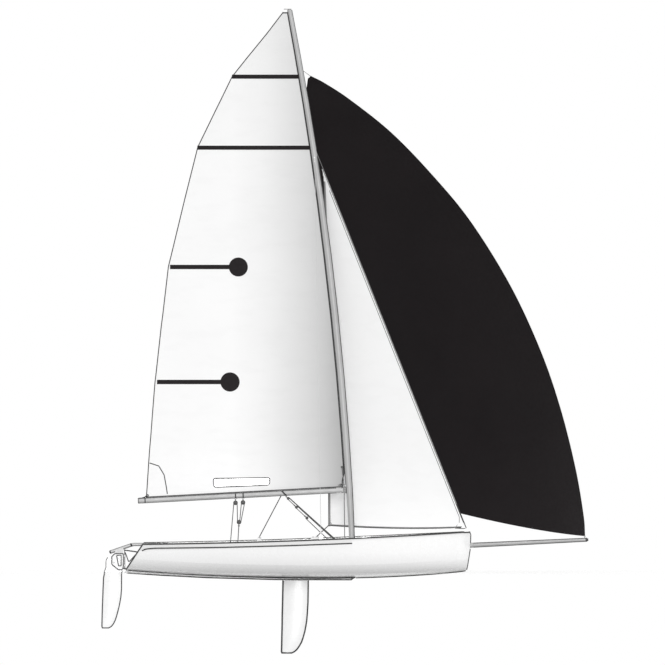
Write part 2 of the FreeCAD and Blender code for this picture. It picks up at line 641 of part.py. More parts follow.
head_plate = side_prism(head_points, -size("board_thickness") / 2 + 1, size("board_thickness") / 2 - 1)
board_bore = Part.makeCylinder(size("pivot_pin_r") + size("running_gap"), 200, vec(pivot.x, -100, pivot.z), RIGHT)
feature("centreboard", head_plate.fuse(board_blade).cut(board_bore))

# ---------------------------------------------------------------- mast
mast_rise = size("mast_head_z") - size("mast_foot_z")
CHORD_SHARES = [(0.0, "mast_chord_foot"), (0.12, "mast_chord_lower"), (0.55, "mast_chord_lower"),
                (0.74, "mast_chord_hounds"), (1.0, "mast_chord_head")]


def mast_chord(share):
    for (low, name_low), (high, name_high) in zip(CHORD_SHARES, CHORD_SHARES[1:]):
        if share <= high:
            part = (share - low) / (high - low)
            return size(name_low) + (size(name_high) - size(name_low)) * part
    return size("mast_chord_head")


MAST_SHARES = [0.0, 0.06, 0.12, 0.22, 0.33, 0.44, 0.55, 0.65, 0.74, 0.83, 0.92, 1.0]


def mast_centre(share):
    straight = size("mast_foot_x") + (size("mast_head_x") - size("mast_foot_x")) * share
    return straight + 4 * size("mast_bend") * share * (1 - share)


def mast_at(z, side):
    """X of the mast's aft (-1), middle (0) or front (+1) face at a height."""
    share = (z - size("mast_foot_z")) / mast_rise
    share = min(max(share, 0.0), 1.0)
    for low, high in zip(MAST_SHARES, MAST_SHARES[1:]):
        if share <= high:
            part = (share - low) / (high - low)
            a = mast_centre(low) + side * mast_chord(low) / 2
            b = mast_centre(high) + side * mast_chord(high) / 2
            return a + (b - a) * part
    return mast_centre(1.0) + side * mast_chord(1.0) / 2


def mast_wire(share):
    chord = mast_chord(share)
    z = size("mast_foot_z") + mast_rise * share
    ellipse = Part.Ellipse(vec(mast_centre(share), 0, z), chord / 2, chord / 2 * size("mast_slimness"))
    return Part.Wire([ellipse.toShape()])


feature("mast", Part.makeLoft([mast_wire(share) for share in MAST_SHARES], True, True))

step_aft = size("mast_foot_x") - 0.55 * size("step_length")
step = cuboid("mast_step", "sizes.step_length", "sizes.step_width", "sizes.mast_foot_z - sizes.well_floor",
              vec(step_aft, -size("step_width") / 2, size("well_floor")))
keep("mast_step", step)

crane = cuboid("masthead_crane", "sizes.crane_length", "sizes.crane_width", "sizes.crane_thickness",
               vec(mast_at(size("mast_head_z"), 1) - 4 - size("crane_length"), -size("crane_width") / 2,
                   size("mast_head_z")))
keep("masthead_crane", crane)

# ---------------------------------------------------------------- boom and gooseneck
boom_pin_x = mast_at(size("boom_front_z"), -1) - size("gooseneck_reach")
boom_pin = vec(boom_pin_x, 0, size("boom_front_z"))
boom_tail = vec(size("boom_end_x"), 0, size("boom_end_z"))
boom_way = (boom_tail - boom_pin).normalize()
boom_length = (boom_tail - boom_pin).Length
head_pin = vec(mast_at(size("main_head_z"), -1) - size("luff_gap"), 0, size("main_head_z"))
swing_axis = (head_pin - boom_pin).normalize()
boom_round = size("boom_width") / 2


def boom_section(at):
    """Stadium section, upright, square to the boom."""
    up = boom_way.cross(RIGHT).normalize()
    if up.z < 0:
        up = up * -1
    half_width = size("boom_width") / 2
    straight = size("boom_depth") / 2 - half_width
    top = at + up * straight
    low = at - up * straight
    side = RIGHT * half_width
    edges = [
        Part.makeLine(low + side, top + side),
        Part.Arc(top + side, top + up * half_width, top - side).toShape(),
        Part.makeLine(top - side, low - side),
        Part.Arc(low - side, low - up * half_width, low + side).toShape(),
    ]
    return Part.Face(Part.Wire(edges))


boom_tube = boom_section(boom_pin).extrude(boom_way * boom_length)
nose_half = size("boom_depth") / 2 - 6
nose_start = boom_pin - swing_axis * nose_half
nose = Part.makeCylinder(boom_round - 2, 2 * nose_half, nose_start, swing_axis)
pin_bore = Part.makeCylinder(size("gooseneck_pin_r") + size("running_gap"), 400, boom_pin - swing_axis * 200, swing_axis)
lug_from = nose_half + size("lug_gap")
lug_room = Part.makeCylinder(boom_round + 8, 60, boom_pin + swing_axis * nose_half, swing_axis)
lug_room = lug_room.fuse(Part.makeCylinder(boom_round + 8, 60, boom_pin - swing_axis * nose_half, swing_axis * -1))
feature("boom", boom_tube.fuse(nose).cut(lug_room).cut(pin_bore))

lug_thick = size("gooseneck_lug")
lug_parts = []
for side in (-1, 1):
    base = boom_pin + swing_axis * (side * lug_from)
    way = swing_axis * side
    disc = Part.makeCylinder(boom_round - 6, lug_thick, base, way)
    arm_end = mast_at(base.z, -1) + 12
    arm_low = min(base.z, base.z + side * lug_thick)
    arm = Part.makeBox(arm_end - base.x, 2 * (boom_round - 8), lug_thick, vec(base.x, -(boom_round - 8), arm_low))
    turn = math.degrees(math.atan2(swing_axis.x, swing_axis.z))
    arm.rotate(base, RIGHT, turn)
    lug_parts.append(disc)
    lug_parts.append(arm)
pin_length = 2 * (lug_from + lug_thick + 4)
lug_parts.append(Part.makeCylinder(size("gooseneck_pin_r"), pin_length, boom_pin - swing_axis * (pin_length / 2), swing_axis))
back_low = boom_pin.z - lug_from - 3 * lug_thick
back_high = boom_pin.z + lug_from + 3 * lug_thick
back_x = mast_at(boom_pin.z, -1)
back = Part.makeBox(22, 34, back_high - back_low, vec(back_x - 10, -17, back_low))
lug_parts.append(back)
bracket = lug_parts[0]
for piece in lug_parts[1:]:
    bracket = bracket.fuse(piece)
mast_shape = nodes["mast"].Shape
feature("gooseneck", bracket.cut(mast_shape))

# ---------------------------------------------------------------- mainsail and its boom fittings
boom_top = size("boom_depth") / 2 + size("foot_gap")


def camber_wire(luff, leech, depth, thickness, dip=0.0):
    """A thin section of cloth: two arcs about one centre, joined at luff and leech."""
    chord = leech - luff
    side = vec(-chord.y, chord.x, 0)
    if side.y < 0:
        side = side * -1
    side = side.normalize()
    middle = (luff + leech) * 0.5 + side * (depth * chord.Length) + vec(0, 0, dip)
    centre = Part.Arc(luff, middle, leech).toShape().Curve.Center
    inner = []
    for point in (luff, middle, leech):
        reach = (point - centre).Length
        inner.append(centre + (point - centre) * ((reach - thickness) / reach))
    edges = [
        Part.Arc(luff, middle, leech).toShape(),
        Part.makeLine(leech, inner[2]),
        Part.Arc(inner[2], inner[1], inner[0]).toShape(),
        Part.makeLine(inner[0], luff),
    ]
    return Part.Wire(edges)


foot_luff = boom_pin + vec(-30, 0, boom_top + 2 * lug_thick)
foot_end_x = boom_tail.x + size("clew_inset")
foot_share = (foot_end_x - boom_pin.x) / (boom_tail.x - boom_pin.x)
foot_leech = boom_pin + (boom_tail - boom_pin) * foot_share + vec(0, 0, boom_top)
main_wires = []
main_height = size("main_head_z") - foot_luff.z
for row, share in enumerate(MAIN_SHARES):
    z = size("main_head_z") - main_height * share
    luff = vec(mast_at(z, -1) - size("luff_gap"), 0, z)
    sag = 0.0 if share < 0.8 else (share - 0.8) * 420
    leech = vec(luff.x - size("main_width_%d" % (row + 1)), 0, z - sag)
    depth = size("main_camber") * min(1.0, 0.55 + 2 * share, 0.42 + 1.1 * (1 - share))
    main_wires.append(camber_wire(luff, leech, depth, size("cloth")))
main_wires.append(camber_wire(foot_luff, foot_leech, 0.008, size("cloth")))
mainsail = Part.makeLoft(main_wires, True, True)
feature("mainsail", mainsail)


def boom_block(label, x, alias):
    """A block on its hanger under the boom."""
    share = (x - boom_pin.x) / (boom_tail.x - boom_pin.x)
    under = boom_pin.z + (boom_tail.z - boom_pin.z) * share - size("boom_depth") / 2
    centre = vec(x, 0, under - size("hanger") - size("block_r"))
    body = cylinder(label + "_cheeks", "sizes.block_r", "sizes.block_width",
                    aim(vec(x, -size("block_width") / 2, centre.z), RIGHT))
    arm = cuboid(label + "_hanger", "sizes.block_r * 0.6", "sizes.block_width * 0.3", "sizes.hanger + 8",
                 vec(x - 0.3 * size("block_r"), -0.15 * size("block_width"), under - size("hanger") - 8))
    return fused(label, [body, arm])


boom_block("boom_block_aft", size("boom_block_aft_x"), "boom_block_aft_x")
boom_block("boom_block_front", size("boom_block_front_x"), "boom_block_front_x")

# ---------------------------------------------------------------- bowsprit
inside = sprit_heel
stub = cylinder("bowsprit_heel", "sizes.bowsprit_r", "sizes.bowsprit_bury + sizes.collar_length + 30",
                aim(inside, sprit_way))
taper_start = inside + sprit_way * (size("bowsprit_bury") + size("collar_length") + 30)
taper = doc.addObject("Part::Cone", "bowsprit_taper")
taper.setExpression("Radius1", "sizes.bowsprit_r")
taper.setExpression("Radius2", "sizes.bowsprit_tip_r")
taper.Height = (sprit_tip - taper_start).Length
taper.Placement = aim(taper_start, sprit_way)
fused("bowsprit", [stub, taper])

collar_outer = rod(sprit_start - sprit_way * 70, sprit_start + sprit_way * size("collar_length"),
                   size("bowsprit_r") + size("collar_wall"))
collar_bore = rod(sprit_start - sprit_way * 200, sprit_start + sprit_way * 200, size("bowsprit_r"))
feature("bowsprit_collar", collar_outer.cut(collar_bore).cut(hull_shape))

# ---------------------------------------------------------------- forestay, shrouds and plates
stay_foot_z = deck_z(stay_foot_x) + size("bow_plate_height")
stay_foot = vec(stay_foot_x, 0, stay_foot_z)
stay_head = vec(mast_at(size("hounds_z"), 1), 0, size("hounds_z"))
stay_way = (stay_head - stay_foot).normalize()
stay = rod(stay_foot, stay_head + stay_way * 12, size("stay_r"))
feature("forestay", stay.cut(mast_shape))
plate_top = size("bow_plate_height") - 0.35 * size("stay_r")
plate_points = [(-36, -20), (36, -20), (16, plate_top), (-16, plate_top)]
bow_plate = side_prism([(stay_foot.x + a, deck_z(stay_foot.x) + b) for a, b in plate_points],
                       -size("plate_thickness") / 2, size("plate_thickness") / 2)
feature("bow_fitting", bow_plate.cut(deck_shape))

plate_y = deck_edge(size("chainplate_x")) - size("chainplate_inset")
for name, side in (("port", 1), ("starboard", -1)):
    foot = vec(size("chainplate_x"), side * plate_y, deck_z(size("chainplate_x")) + size("chainplate_height"))
    half_side = mast_chord((size("hounds_z") - size("mast_foot_z")) / mast_rise) / 2 * size("mast_slimness")
    head = vec(mast_at(size("hounds_z") - 60, 0), side * (half_side - 3), size("hounds_z") - 60)
    feature("shroud_" + name, rod(foot, head, size("shroud_r")).cut(mast_shape))
    plate_top = size("chainplate_height") - 0.2 * size("shroud_r")
    points = [(-24, -20), (24, -20), (12, plate_top), (-12, plate_top)]
    plate = side_prism([(foot.x + a, deck_z(foot.x) + b) for a, b in points],
                       foot.y - size("plate_thickness") / 2, foot.y + size("plate_thickness") / 2)
    feature("chainplate_" + name, plate.cut(deck_shape))

# ---------------------------------------------------------------- jib


def stay_at(z):
    share = (z - stay_foot.z) / (stay_head.z - stay_foot.z)
    return stay_foot.x + (stay_head.x - stay_foot.x) * share


jib_wires = []
for share in (0.0, 0.1, 0.25, 0.42, 0.6, 0.78, 0.92, 1.0):
    z_luff = size("jib_head_z") + (size("jib_tack_z") - size("jib_head_z")) * share
    z_leech = size("jib_head_z") + (size("jib_clew_z") - size("jib_head_z")) * share
    luff = vec(stay_at(z_luff) - size("stay_gap") - size("stay_r"), 0, z_luff)
    if share == 1.0:
        luff = luff + vec(-70, 0, 0)
    leech_x = size("jib_leech_x") + (size("jib_clew_x") - size("jib_leech_x")) * share ** 0.4
    leech_y = 5 + (size("jib_clew_y") - 5) * (0.35 * share + 0.65 * math.sin(share * math.pi / 2) ** 0.9)
    leech = vec(leech_x, leech_y, z_leech)
    jib_wires.append(camber_wire(luff, leech, size("jib_camber") * (0.5 + 0.5 * share), size("cloth")))
feature("jib", Part.makeLoft(jib_wires, True, True))

# ---------------------------------------------------------------- spinnaker
kite_wires = []
for row in range(KITE_ROWS):
    values = [size("kite_%s_%d" % (name, row + 1)) for name in KITE_NAMES]
    luff = vec(values[0], values[1], values[2])
    leech = vec(values[3], values[4], values[5])
    dip = [-165, -95, -30][row] if row < 3 else 0.0
    kite_wires.append(camber_wire(luff, leech, size("spinnaker_camber"), size("cloth"), dip))
feature("spinnaker", Part.makeLoft(kite_wires, True, True))

last = KITE_ROWS
head = vec(size("kite_luff_x_%d" % last), size("kite_luff_y_%d" % last), size("kite_luff_z_%d" % last))
sheave_z = head.z + 100
sheave = vec(mast_at(sheave_z, 0), 0, sheave_z)
gap = size("sail_gap")
halyard = rod(sheave, head + vec(0, 0, size("halyard_r") + gap - 0.5), size("halyard_r"))
feature("spinnaker_halyard", halyard.cut(mast_shape))
tack = vec(size("kite_luff_x_1"), size("kite_luff_y_1"), size("kite_luff_z_1"))
share = (tack.x - sprit_start.x) / (sprit_tip.x - sprit_start.x)
pole_z = sprit_start.z + (sprit_tip.z - sprit_start.z) * share
strop_way = vec(tack.x - 4, tack.y - 2, tack.z - gap - 3)
doc.recompute()
tack_strop = rod(vec(tack.x - 4, 0, pole_z), strop_way, size("halyard_r"))
feature("tack_strop", tack_strop.cut(nodes["bowsprit"].Shape))

# ---------------------------------------------------------------- rudder
rod_foot = vec(axis_x, 0, size("pintle_foot"))
rod_length = size("pintle_top") - size("pintle_foot")


def transom_x(z):
    slope = size("transom_rake") / (size("sheer_aft") - size("keel_1"))
    return transom_top_x - slope * (size("sheer_aft") - z)


gantry_parts = [Part.makeCylinder(size("pintle_r"), rod_length, rod_foot, UP)]
top_z = size("pintle_top") - 10
tube = size("gantry_tube_r")
low_z = size("pintle_foot") + 12
for side in (-1, 1):
    shoulder = vec(transom_x(size("notch_floor") - 8) + 20, side * size("gantry_spread"), size("notch_floor") - 8)
    gantry_parts.append(rod(vec(axis_x, 0, top_z), shoulder, tube))
gantry_parts.append(Part.makeSphere(tube + 3, vec(axis_x, 0, top_z)))
foot_block = Part.makeBox(transom_x(low_z) + 30 - axis_x, 30, 16, vec(axis_x, -15, low_z - 8))
gantry_parts.append(foot_block)
gantry_parts.append(Part.makeCylinder(15, 16, vec(axis_x, 0, low_z - 8), UP))
gantry = gantry_parts[0]
for piece in gantry_parts[1:]:
    gantry = gantry.fuse(piece)
gantry = gantry.cut(hull_shape).cut(deck_shape)
solids = sorted(gantry.Solids, key=lambda s: s.Volume)
feature("rudder_gantry", solids[-1])

stock_front = axis_x - size("stock_setback")
stock_aft = stock_front - size("stock_length")
blade_pivot = vec(axis_x - size("blade_setback"), 0, size("blade_pivot_z"))
cheek_inner = size("blade_thickness") / 2 + size("blade_gap")
cheek_outer = cheek_inner + size("cheek_thickness")
stock_low = size("stock_foot")
stock_high = size("stock_top")
cheek_points = [
    (stock_front, stock_low + 20), (stock_front, stock_high), (stock_aft + 40, stock_high),
    (stock_aft, stock_high - 38), (stock_aft, stock_low + 70), (stock_front - 66, stock_low),
    (stock_front - 20, stock_low),
]
cheeks = []
for side in (-1, 1):
    cheeks.append(side_prism(cheek_points, side * cheek_inner, side * cheek_outer))
window_points = [
    (stock_front - 30, stock_low + 52), (stock_front - 30, stock_high - 22),
    (stock_front - 88, stock_high - 26), (stock_front - 62, stock_low + 52),
]
window = side_prism(window_points, -100, 100)
bolt = Part.makeCylinder(size("blade_bolt_r"), 2 * cheek_outer + 12, blade_pivot - RIGHT * (cheek_outer + 6), RIGHT)
spacer = Part.makeBox(size("spacer_thickness"), 2 * cheek_outer, stock_high - stock_low - 20,
                      vec(stock_front - size("spacer_thickness"), -cheek_outer, stock_low + 20))
stock = cheeks[0].fuse(cheeks[1]).cut(window).fuse(spacer).fuse(bolt)
gudgeon_r = size("pintle_r") + 6
for z in (stock_low + 46, stock_high - 40):
    ring = Part.makeCylinder(gudgeon_r, 20, vec(axis_x, 0, z), UP)
    arm = Part.makeBox(size("stock_setback") + 2, 2 * gudgeon_r, 20, vec(stock_front - 2, -gudgeon_r, z))
    stock = stock.fuse(ring).fuse(arm)
steer_bore = Part.makeCylinder(size("pintle_r") + size("running_gap"), 600, vec(axis_x, 0, -200), UP)

stock = stock.cut(steer_bore)
feature("rudder_stock", stock)
bend = vec(axis_x + size("tiller_bend_ahead"), 0, size("tiller_z"))
sleeve_end = vec(stock_aft - size("sleeve_overhang"), 0, stock_high + size("sleeve_rise"))
sleeve_way = (bend - sleeve_end).normalize()
sleeve = rod(sleeve_end, bend, size("sleeve_r"))
knee = Part.makeSphere(size("sleeve_r"), bend)
tiller_end = vec(axis_x + size("tiller_length"), 0, size("tiller_z"))
tiller_tube = rod(bend, tiller_end, size("tiller_r"))
saddle_aft = stock_aft + size("saddle_setback")
saddle_points = [(saddle_aft, stock_high), (stock_front, stock_high)]
for x in (stock_front, saddle_aft):
    saddle_points.append((x, sleeve_end.z + sleeve_way.z / sleeve_way.x * (x - sleeve_end.x)))
saddle = side_prism(saddle_points, -cheek_outer, cheek_outer)
feature("tiller", saddle.fuse(sleeve).fuse(knee).fuse(tiller_tube))

joint_x = axis_x + size("tiller_length") - 24
stick_y = size("tiller_r") + size("extension_r") + 6
stick_start = vec(joint_x, stick_y, size("tiller_z"))
stick = rod(stick_start, stick_start - vec(size("extension_length"), 0, 0), size("extension_r"))
knuckle = rod(vec(joint_x - 12, 0, size("tiller_z")), vec(joint_x - 12, stick_y, size("tiller_z")), 6)
feature("tiller_extension", stick.fuse(knuckle).cut(tiller_tube))

blade_aft = blade_pivot.x - size("blade_head_r")
disc = Part.makeCylinder(size("blade_head_r"), size("blade_thickness") - 2,
                         blade_pivot - RIGHT * (size("blade_thickness") / 2 - 1), RIGHT)
blade_front_x = stock_front - 22
neck_z = blade_pivot.z - 125
neck_points = [
    (blade_aft, blade_pivot.z), (blade_aft, blade_pivot.z - 66), (blade_aft - 24, neck_z),
    (blade_front_x, neck_z), (blade_pivot.x + size("blade_head_r"), blade_pivot.z),
]
neck = side_prism(neck_points, -size("blade_thickness") / 2 + 1, size("blade_thickness") / 2 - 1)
blade_foil = foil_loft(
    blade_aft - 24, blade_front_x, size("blade_thickness"), neck_z, size("blade_tip"),
    [(0, 0, 0, 1), (0.1, -0.07, -0.004, 0.995), (0.3, -0.1, 0.0, 0.98), (0.445, -0.115, 0.037, 0.95),
     (0.535, -0.127, 0.09, 0.92), (0.624, -0.139, 0.148, 0.89), (0.713, -0.148, 0.223, 0.85),
     (0.8, -0.154, 0.3, 0.78), (0.87, -0.16, 0.38, 0.7), (0.927, -0.165, 0.478, 0.62), (0.963, -0.166, 0.572, 0.54),
     (0.985, -0.16, 0.67, 0.47), (1.0, -0.155, 0.78, 0.4)],
)
bolt_bore = Part.makeCylinder(size("blade_bolt_r") + size("running_gap"), 200, blade_pivot - RIGHT * 100, RIGHT)
feature("rudder_blade", disc.fuse(neck).fuse(blade_foil).cut(bolt_bore))

# ---------------------------------------------------------------- deck and cockpit fittings
base = cylinder("mainsheet_base", "sizes.sheet_base_r", "sizes.sheet_base_height",
                aim(vec(size("sheet_base_x"), 0, case_top), UP))
keep("mainsheet_base", base)
strop_from = vec(size("sheet_base_x"), 0, case_top + size("sheet_base_height"))
block_x = size("sheet_base_x") + 20
strop_to = vec(block_x, 0, size("lower_block_z") - size("block_r") + 3)
lower = cylinder("mainsheet_block", "sizes.block_r", "sizes.block_width",
                 aim(vec(block_x, -size("block_width") / 2, size("lower_block_z")), RIGHT))
keep("mainsheet_block", lower)
doc.recompute()
feature("mainsheet_strop", rod(strop_from, strop_to, size("strop_r")).cut(lower.Shape))


def strap(label, side):
    """A webbing strap, raised over the floor, its two ends down on the floor."""
    floor = size("well_floor")
    top = floor + size("strap_height")
    thick = size("strap_thickness")
    aft = well_aft + size("strap_inset")
    front = size("strap_front")
    low = [(aft, floor), (aft + 40, floor), (aft + 110, top), (front - 110, top), (front - 40, floor), (front, floor)]
    points = low + [(x, z + thick) for x, z in reversed(low)]
    body = padded_body(label, points, "sizes.strap_width")
    body.Placement = FreeCAD.Placement(vec(0, side * size("strap_y"), 0), UPRIGHT)
    return keep(label, body)


strap("toe_strap_port", 1)
strap("toe_strap_starboard", -1)

for name, side in (("port", 1), ("starboard", -1)):
    x = size("fairlead_x")
    seat = min(deck_z(x - size("fairlead_length") / 2), deck_z(x + size("fairlead_length") / 2)) - 4
    block = Part.makeBox(size("fairlead_length"), 26, size("fairlead_height"),
                         vec(x - size("fairlead_length") / 2, side * size("fairlead_y") - 13, seat))
    feature("jib_fairlead_" + name, block.cut(deck_shape))
    x = size("sheet_block_x")
    y = side * (deck_edge(x) - size("sheet_block_inset"))
    wheel = Part.makeCylinder(size("sheet_block_r"), 18, vec(x, y - 9, deck_z(x) + size("sheet_block_r") + 4), RIGHT)
    foot = Part.makeBox(44, 30, 16, vec(x - 22, y - 15, deck_z(x) - 6))
    feature("spinnaker_block_" + name, wheel.fuse(foot).cut(deck_shape))

# ---------------------------------------------------------------- checks and files
doc.recompute()
for obj in doc.Objects:
    if "Invalid" in obj.State or "Error" in obj.State:
        raise RuntimeError("failed object: " + obj.Label)
for label, obj in nodes.items():
    shape = obj.Shape
    if shape.isNull() or not shape.isValid():
        raise RuntimeError("bad shape: " + label)
    print(label, len(shape.Solids), round(shape.Volume / 1e6, 3), "litres")
    if not shape.Solids:
        raise RuntimeError("no solid: " + label)

os.makedirs("parts", exist_ok=True)
for label, obj in nodes.items():
    obj.Shape.exportStep("parts/" + label + ".step")
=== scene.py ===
import math

import bpy
import bmesh
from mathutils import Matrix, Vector
from mathutils.bvhtree import BVHTree


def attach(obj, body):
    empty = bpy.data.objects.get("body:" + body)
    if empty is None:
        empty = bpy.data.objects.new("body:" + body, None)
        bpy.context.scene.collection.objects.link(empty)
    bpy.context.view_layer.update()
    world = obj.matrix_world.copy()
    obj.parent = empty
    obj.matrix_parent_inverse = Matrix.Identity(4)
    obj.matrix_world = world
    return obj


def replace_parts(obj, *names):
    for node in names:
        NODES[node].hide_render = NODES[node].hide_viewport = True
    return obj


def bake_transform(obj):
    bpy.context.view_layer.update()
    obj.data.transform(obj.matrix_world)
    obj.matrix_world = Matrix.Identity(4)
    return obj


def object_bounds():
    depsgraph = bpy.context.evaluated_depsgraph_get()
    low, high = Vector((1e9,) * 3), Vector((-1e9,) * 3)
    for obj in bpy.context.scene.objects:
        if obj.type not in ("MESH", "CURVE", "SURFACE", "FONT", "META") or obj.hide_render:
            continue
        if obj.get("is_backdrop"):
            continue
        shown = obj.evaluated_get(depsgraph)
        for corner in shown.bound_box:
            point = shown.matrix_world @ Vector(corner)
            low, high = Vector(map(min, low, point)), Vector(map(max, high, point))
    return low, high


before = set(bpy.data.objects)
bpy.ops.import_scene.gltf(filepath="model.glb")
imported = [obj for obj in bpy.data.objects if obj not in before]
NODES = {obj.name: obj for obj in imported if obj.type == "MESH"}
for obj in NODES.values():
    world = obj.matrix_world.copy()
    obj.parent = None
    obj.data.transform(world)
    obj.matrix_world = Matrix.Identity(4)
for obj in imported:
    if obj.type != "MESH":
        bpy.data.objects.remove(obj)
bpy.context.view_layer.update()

scene = bpy.context.scene

# ------------------------------------------------------------------ camera
CAMERA_X, CAMERA_Z, CAMERA_BACK = 0.4506, 3.138, 241.2
camera_data = bpy.data.cameras.new("camera")
camera_data.lens = 1000
camera_data.sensor_width = 36
camera_data.clip_start = 10
camera_data.clip_end = 1000
camera = bpy.data.objects.new("camera", camera_data)
camera.location = (CAMERA_X, -CAMERA_BACK, CAMERA_Z)
camera.rotation_euler = (math.radians(90), 0, 0)
scene.collection.objects.link(camera)
scene.camera = camera
scene.view_settings.view_transform = "Standard"

# ------------------------------------------------------------------ light


def world_light(ambient):
    """Even white light, with a plain white backdrop for the camera, for mirrors and through glass."""
    world = bpy.data.worlds.new("studio")
    scene.world = world
    world.use_nodes = True
    tree = world.node_tree
    tree.nodes.clear()
    new, link = tree.nodes.new, tree.links.new
    out, mix = new("ShaderNodeOutputWorld"), new("ShaderNodeMixShader")
    for socket, strength in ((1, ambient), (2, 1.0)):
        shine = new("ShaderNodeBackground")
        shine.inputs["Color"].default_value = (1, 1, 1, 1)
        shine.inputs["Strength"].default_value = strength
        link(shine.outputs[0], mix.inputs[socket])
    path = new("ShaderNodeLightPath")
    seen = path.outputs["Is Camera Ray"]
    for ray in ("Is Glossy Ray", "Is Transmission Ray"):
        either = new("ShaderNodeMath")
        either.operation = "MAXIMUM"
        link(seen, either.inputs[0])
        link(path.outputs[ray], either.inputs[1])
        seen = either.outputs[0]
    link(seen, mix.inputs[0])
    link(mix.outputs[0], out.inputs["Surface"])


def sun(name, azimuth, elevation, strength, angle):
    """A soft distant lamp. Azimuth 0 shines from the camera's side, 90 from the bow."""
    data = bpy.data.lights.new(name, "SUN")
    data.energy = strength
    data.angle = math.radians(angle)
    lamp = bpy.data.objects.new(name, data)
    a, e = math.radians(azimuth), math.radians(elevation)
    back = Vector((math.sin(a) * math.cos(e), -math.cos(a) * math.cos(e), math.sin(e)))
    lamp.rotation_mode = "QUATERNION"
    lamp.rotation_quaternion = back.to_track_quat("Z", "Y")
    scene.collection.objects.link(lamp)


world_light(0.62)
sun("key", 3, 9, 1.14, 22)
sun("back", 184, 12, 1.05, 30)
sun("bow", 92, 16, 0.45, 40)
sun("stern", -88, 16, 0.45, 40)
sun("top", 0, 78, 0.85, 30)

# ------------------------------------------------------------------ materials


def shade(value):
    """A colour: a plain number is a grey."""
    return value if isinstance(value, tuple) else (value,) * 3


class Shader:
    """A principled material whose colour, roughness and bump come from nodes."""

    def __init__(self, name, metallic=0.0, coat=0.0, sheen=0.0, specular=0.5):
        self.material = bpy.data.materials.new(name)
        self.material.use_nodes = True
        self.tree = self.material.node_tree
        self.bsdf = self.tree.nodes["Principled BSDF"]
        for socket, value in (("Metallic", metallic), ("Coat Weight", coat), ("Coat Roughness", 0.08),
                              ("Sheen Weight", sheen), ("Specular IOR Level", specular)):
            self.bsdf.inputs[socket].default_value = value
        self.place = self.tree.nodes.new("ShaderNodeTexCoord").outputs["Object"]
        self.normal = None

    def node(self, kind, **values):
        made = self.tree.nodes.new(kind)
        for key, value in values.items():
            setattr(made, key, value)
        return made

    def link(self, a, b):
        self.tree.links.new(a, b)

    def noise(self, scale, detail=3.0, stretch=None):
        made = self.node("ShaderNodeTexNoise")
        made.inputs["Scale"].default_value = scale
        made.inputs["Detail"].default_value = detail
        place = self.place
        if stretch:
            mapping = self.node("ShaderNodeMapping")
            mapping.inputs["Scale"].default_value = stretch
            self.link(place, mapping.inputs["Vector"])
            place = mapping.outputs["Vector"]
        self.link(place, made.inputs["Vector"])
        return made.outputs["Fac"]

    def ramp(self, value, *stops):
        made = self.node("ShaderNodeValToRGB")
        points = made.color_ramp.elements
        while len(points) < len(stops):
            points.new(0.5)
        for point, (at, colour) in zip(points, stops):
            point.position = at
            point.color = (*shade(colour), 1)
        self.link(value, made.inputs["Fac"])
        return made.outputs["Color"]

    def bands(self, direction, scale, distortion=0.0):
        made = self.node("ShaderNodeTexWave", wave_type="BANDS", bands_direction=direction)
        made.inputs["Scale"].default_value = scale
        made.inputs["Distortion"].default_value = distortion
        self.link(self.place, made.inputs["Vector"])
        return made.outputs["Fac"]

    def math(self, operation, a, b):
        made = self.node("ShaderNodeMath", operation=operation)
        self.link(a, made.inputs[0])
        self.link(b, made.inputs[1])
        return made.outputs[0]

    def mix(self, share, a, b, blend="MIX"):
        made = self.node("ShaderNodeMix", data_type="RGBA", blend_type=blend)
        factor, first, second = made.inputs[0], made.inputs[6], made.inputs[7]
        if isinstance(share, float):
            factor.default_value = share
        else:
            self.link(share, factor)
        self.link(a, first)
        if isinstance(b, float):
            second.default_value = (*shade(b), 1)
        else:
            self.link(b, second)
        return made.outputs[2]

    def colour(self, socket):
        self.link(socket, self.bsdf.inputs["Base Color"])

    def rough(self, value, low, high):
        self.link(self.ramp(value, (0.3, low), (0.7, high)), self.bsdf.inputs["Roughness"])

    def bump(self, height, strength, distance):
        made = self.node("ShaderNodeBump")
        made.inputs["Strength"].default_value = strength
        made.inputs["Distance"].default_value = distance
        self.link(height, made.inputs["Height"])
        if self.normal is not None:
            self.link(self.normal, made.inputs["Normal"])
        self.normal = made.outputs["Normal"]
        self.link(self.normal, self.bsdf.inputs["Normal"])


def gelcoat(name, low, high, coat=0.35, speckle=0.0):
    s = Shader(name, coat=coat)
    broad = s.ramp(s.noise(1.3, 4), (0.35, low), (0.65, high))
    scuffs = s.ramp(s.noise(46, 6, (0.25, 1, 1)), (0.30, 0.86), (0.42, 1.0))
    s.colour(s.mix(0.35, broad, scuffs, "MULTIPLY"))
    s.rough(s.noise(9, 5), 0.16, 0.34)
    s.bump(s.noise(60, 2), 0.05, 0.001)
    if speckle:
        s.bump(s.noise(420, 2), speckle, 0.0006)
    return s.material


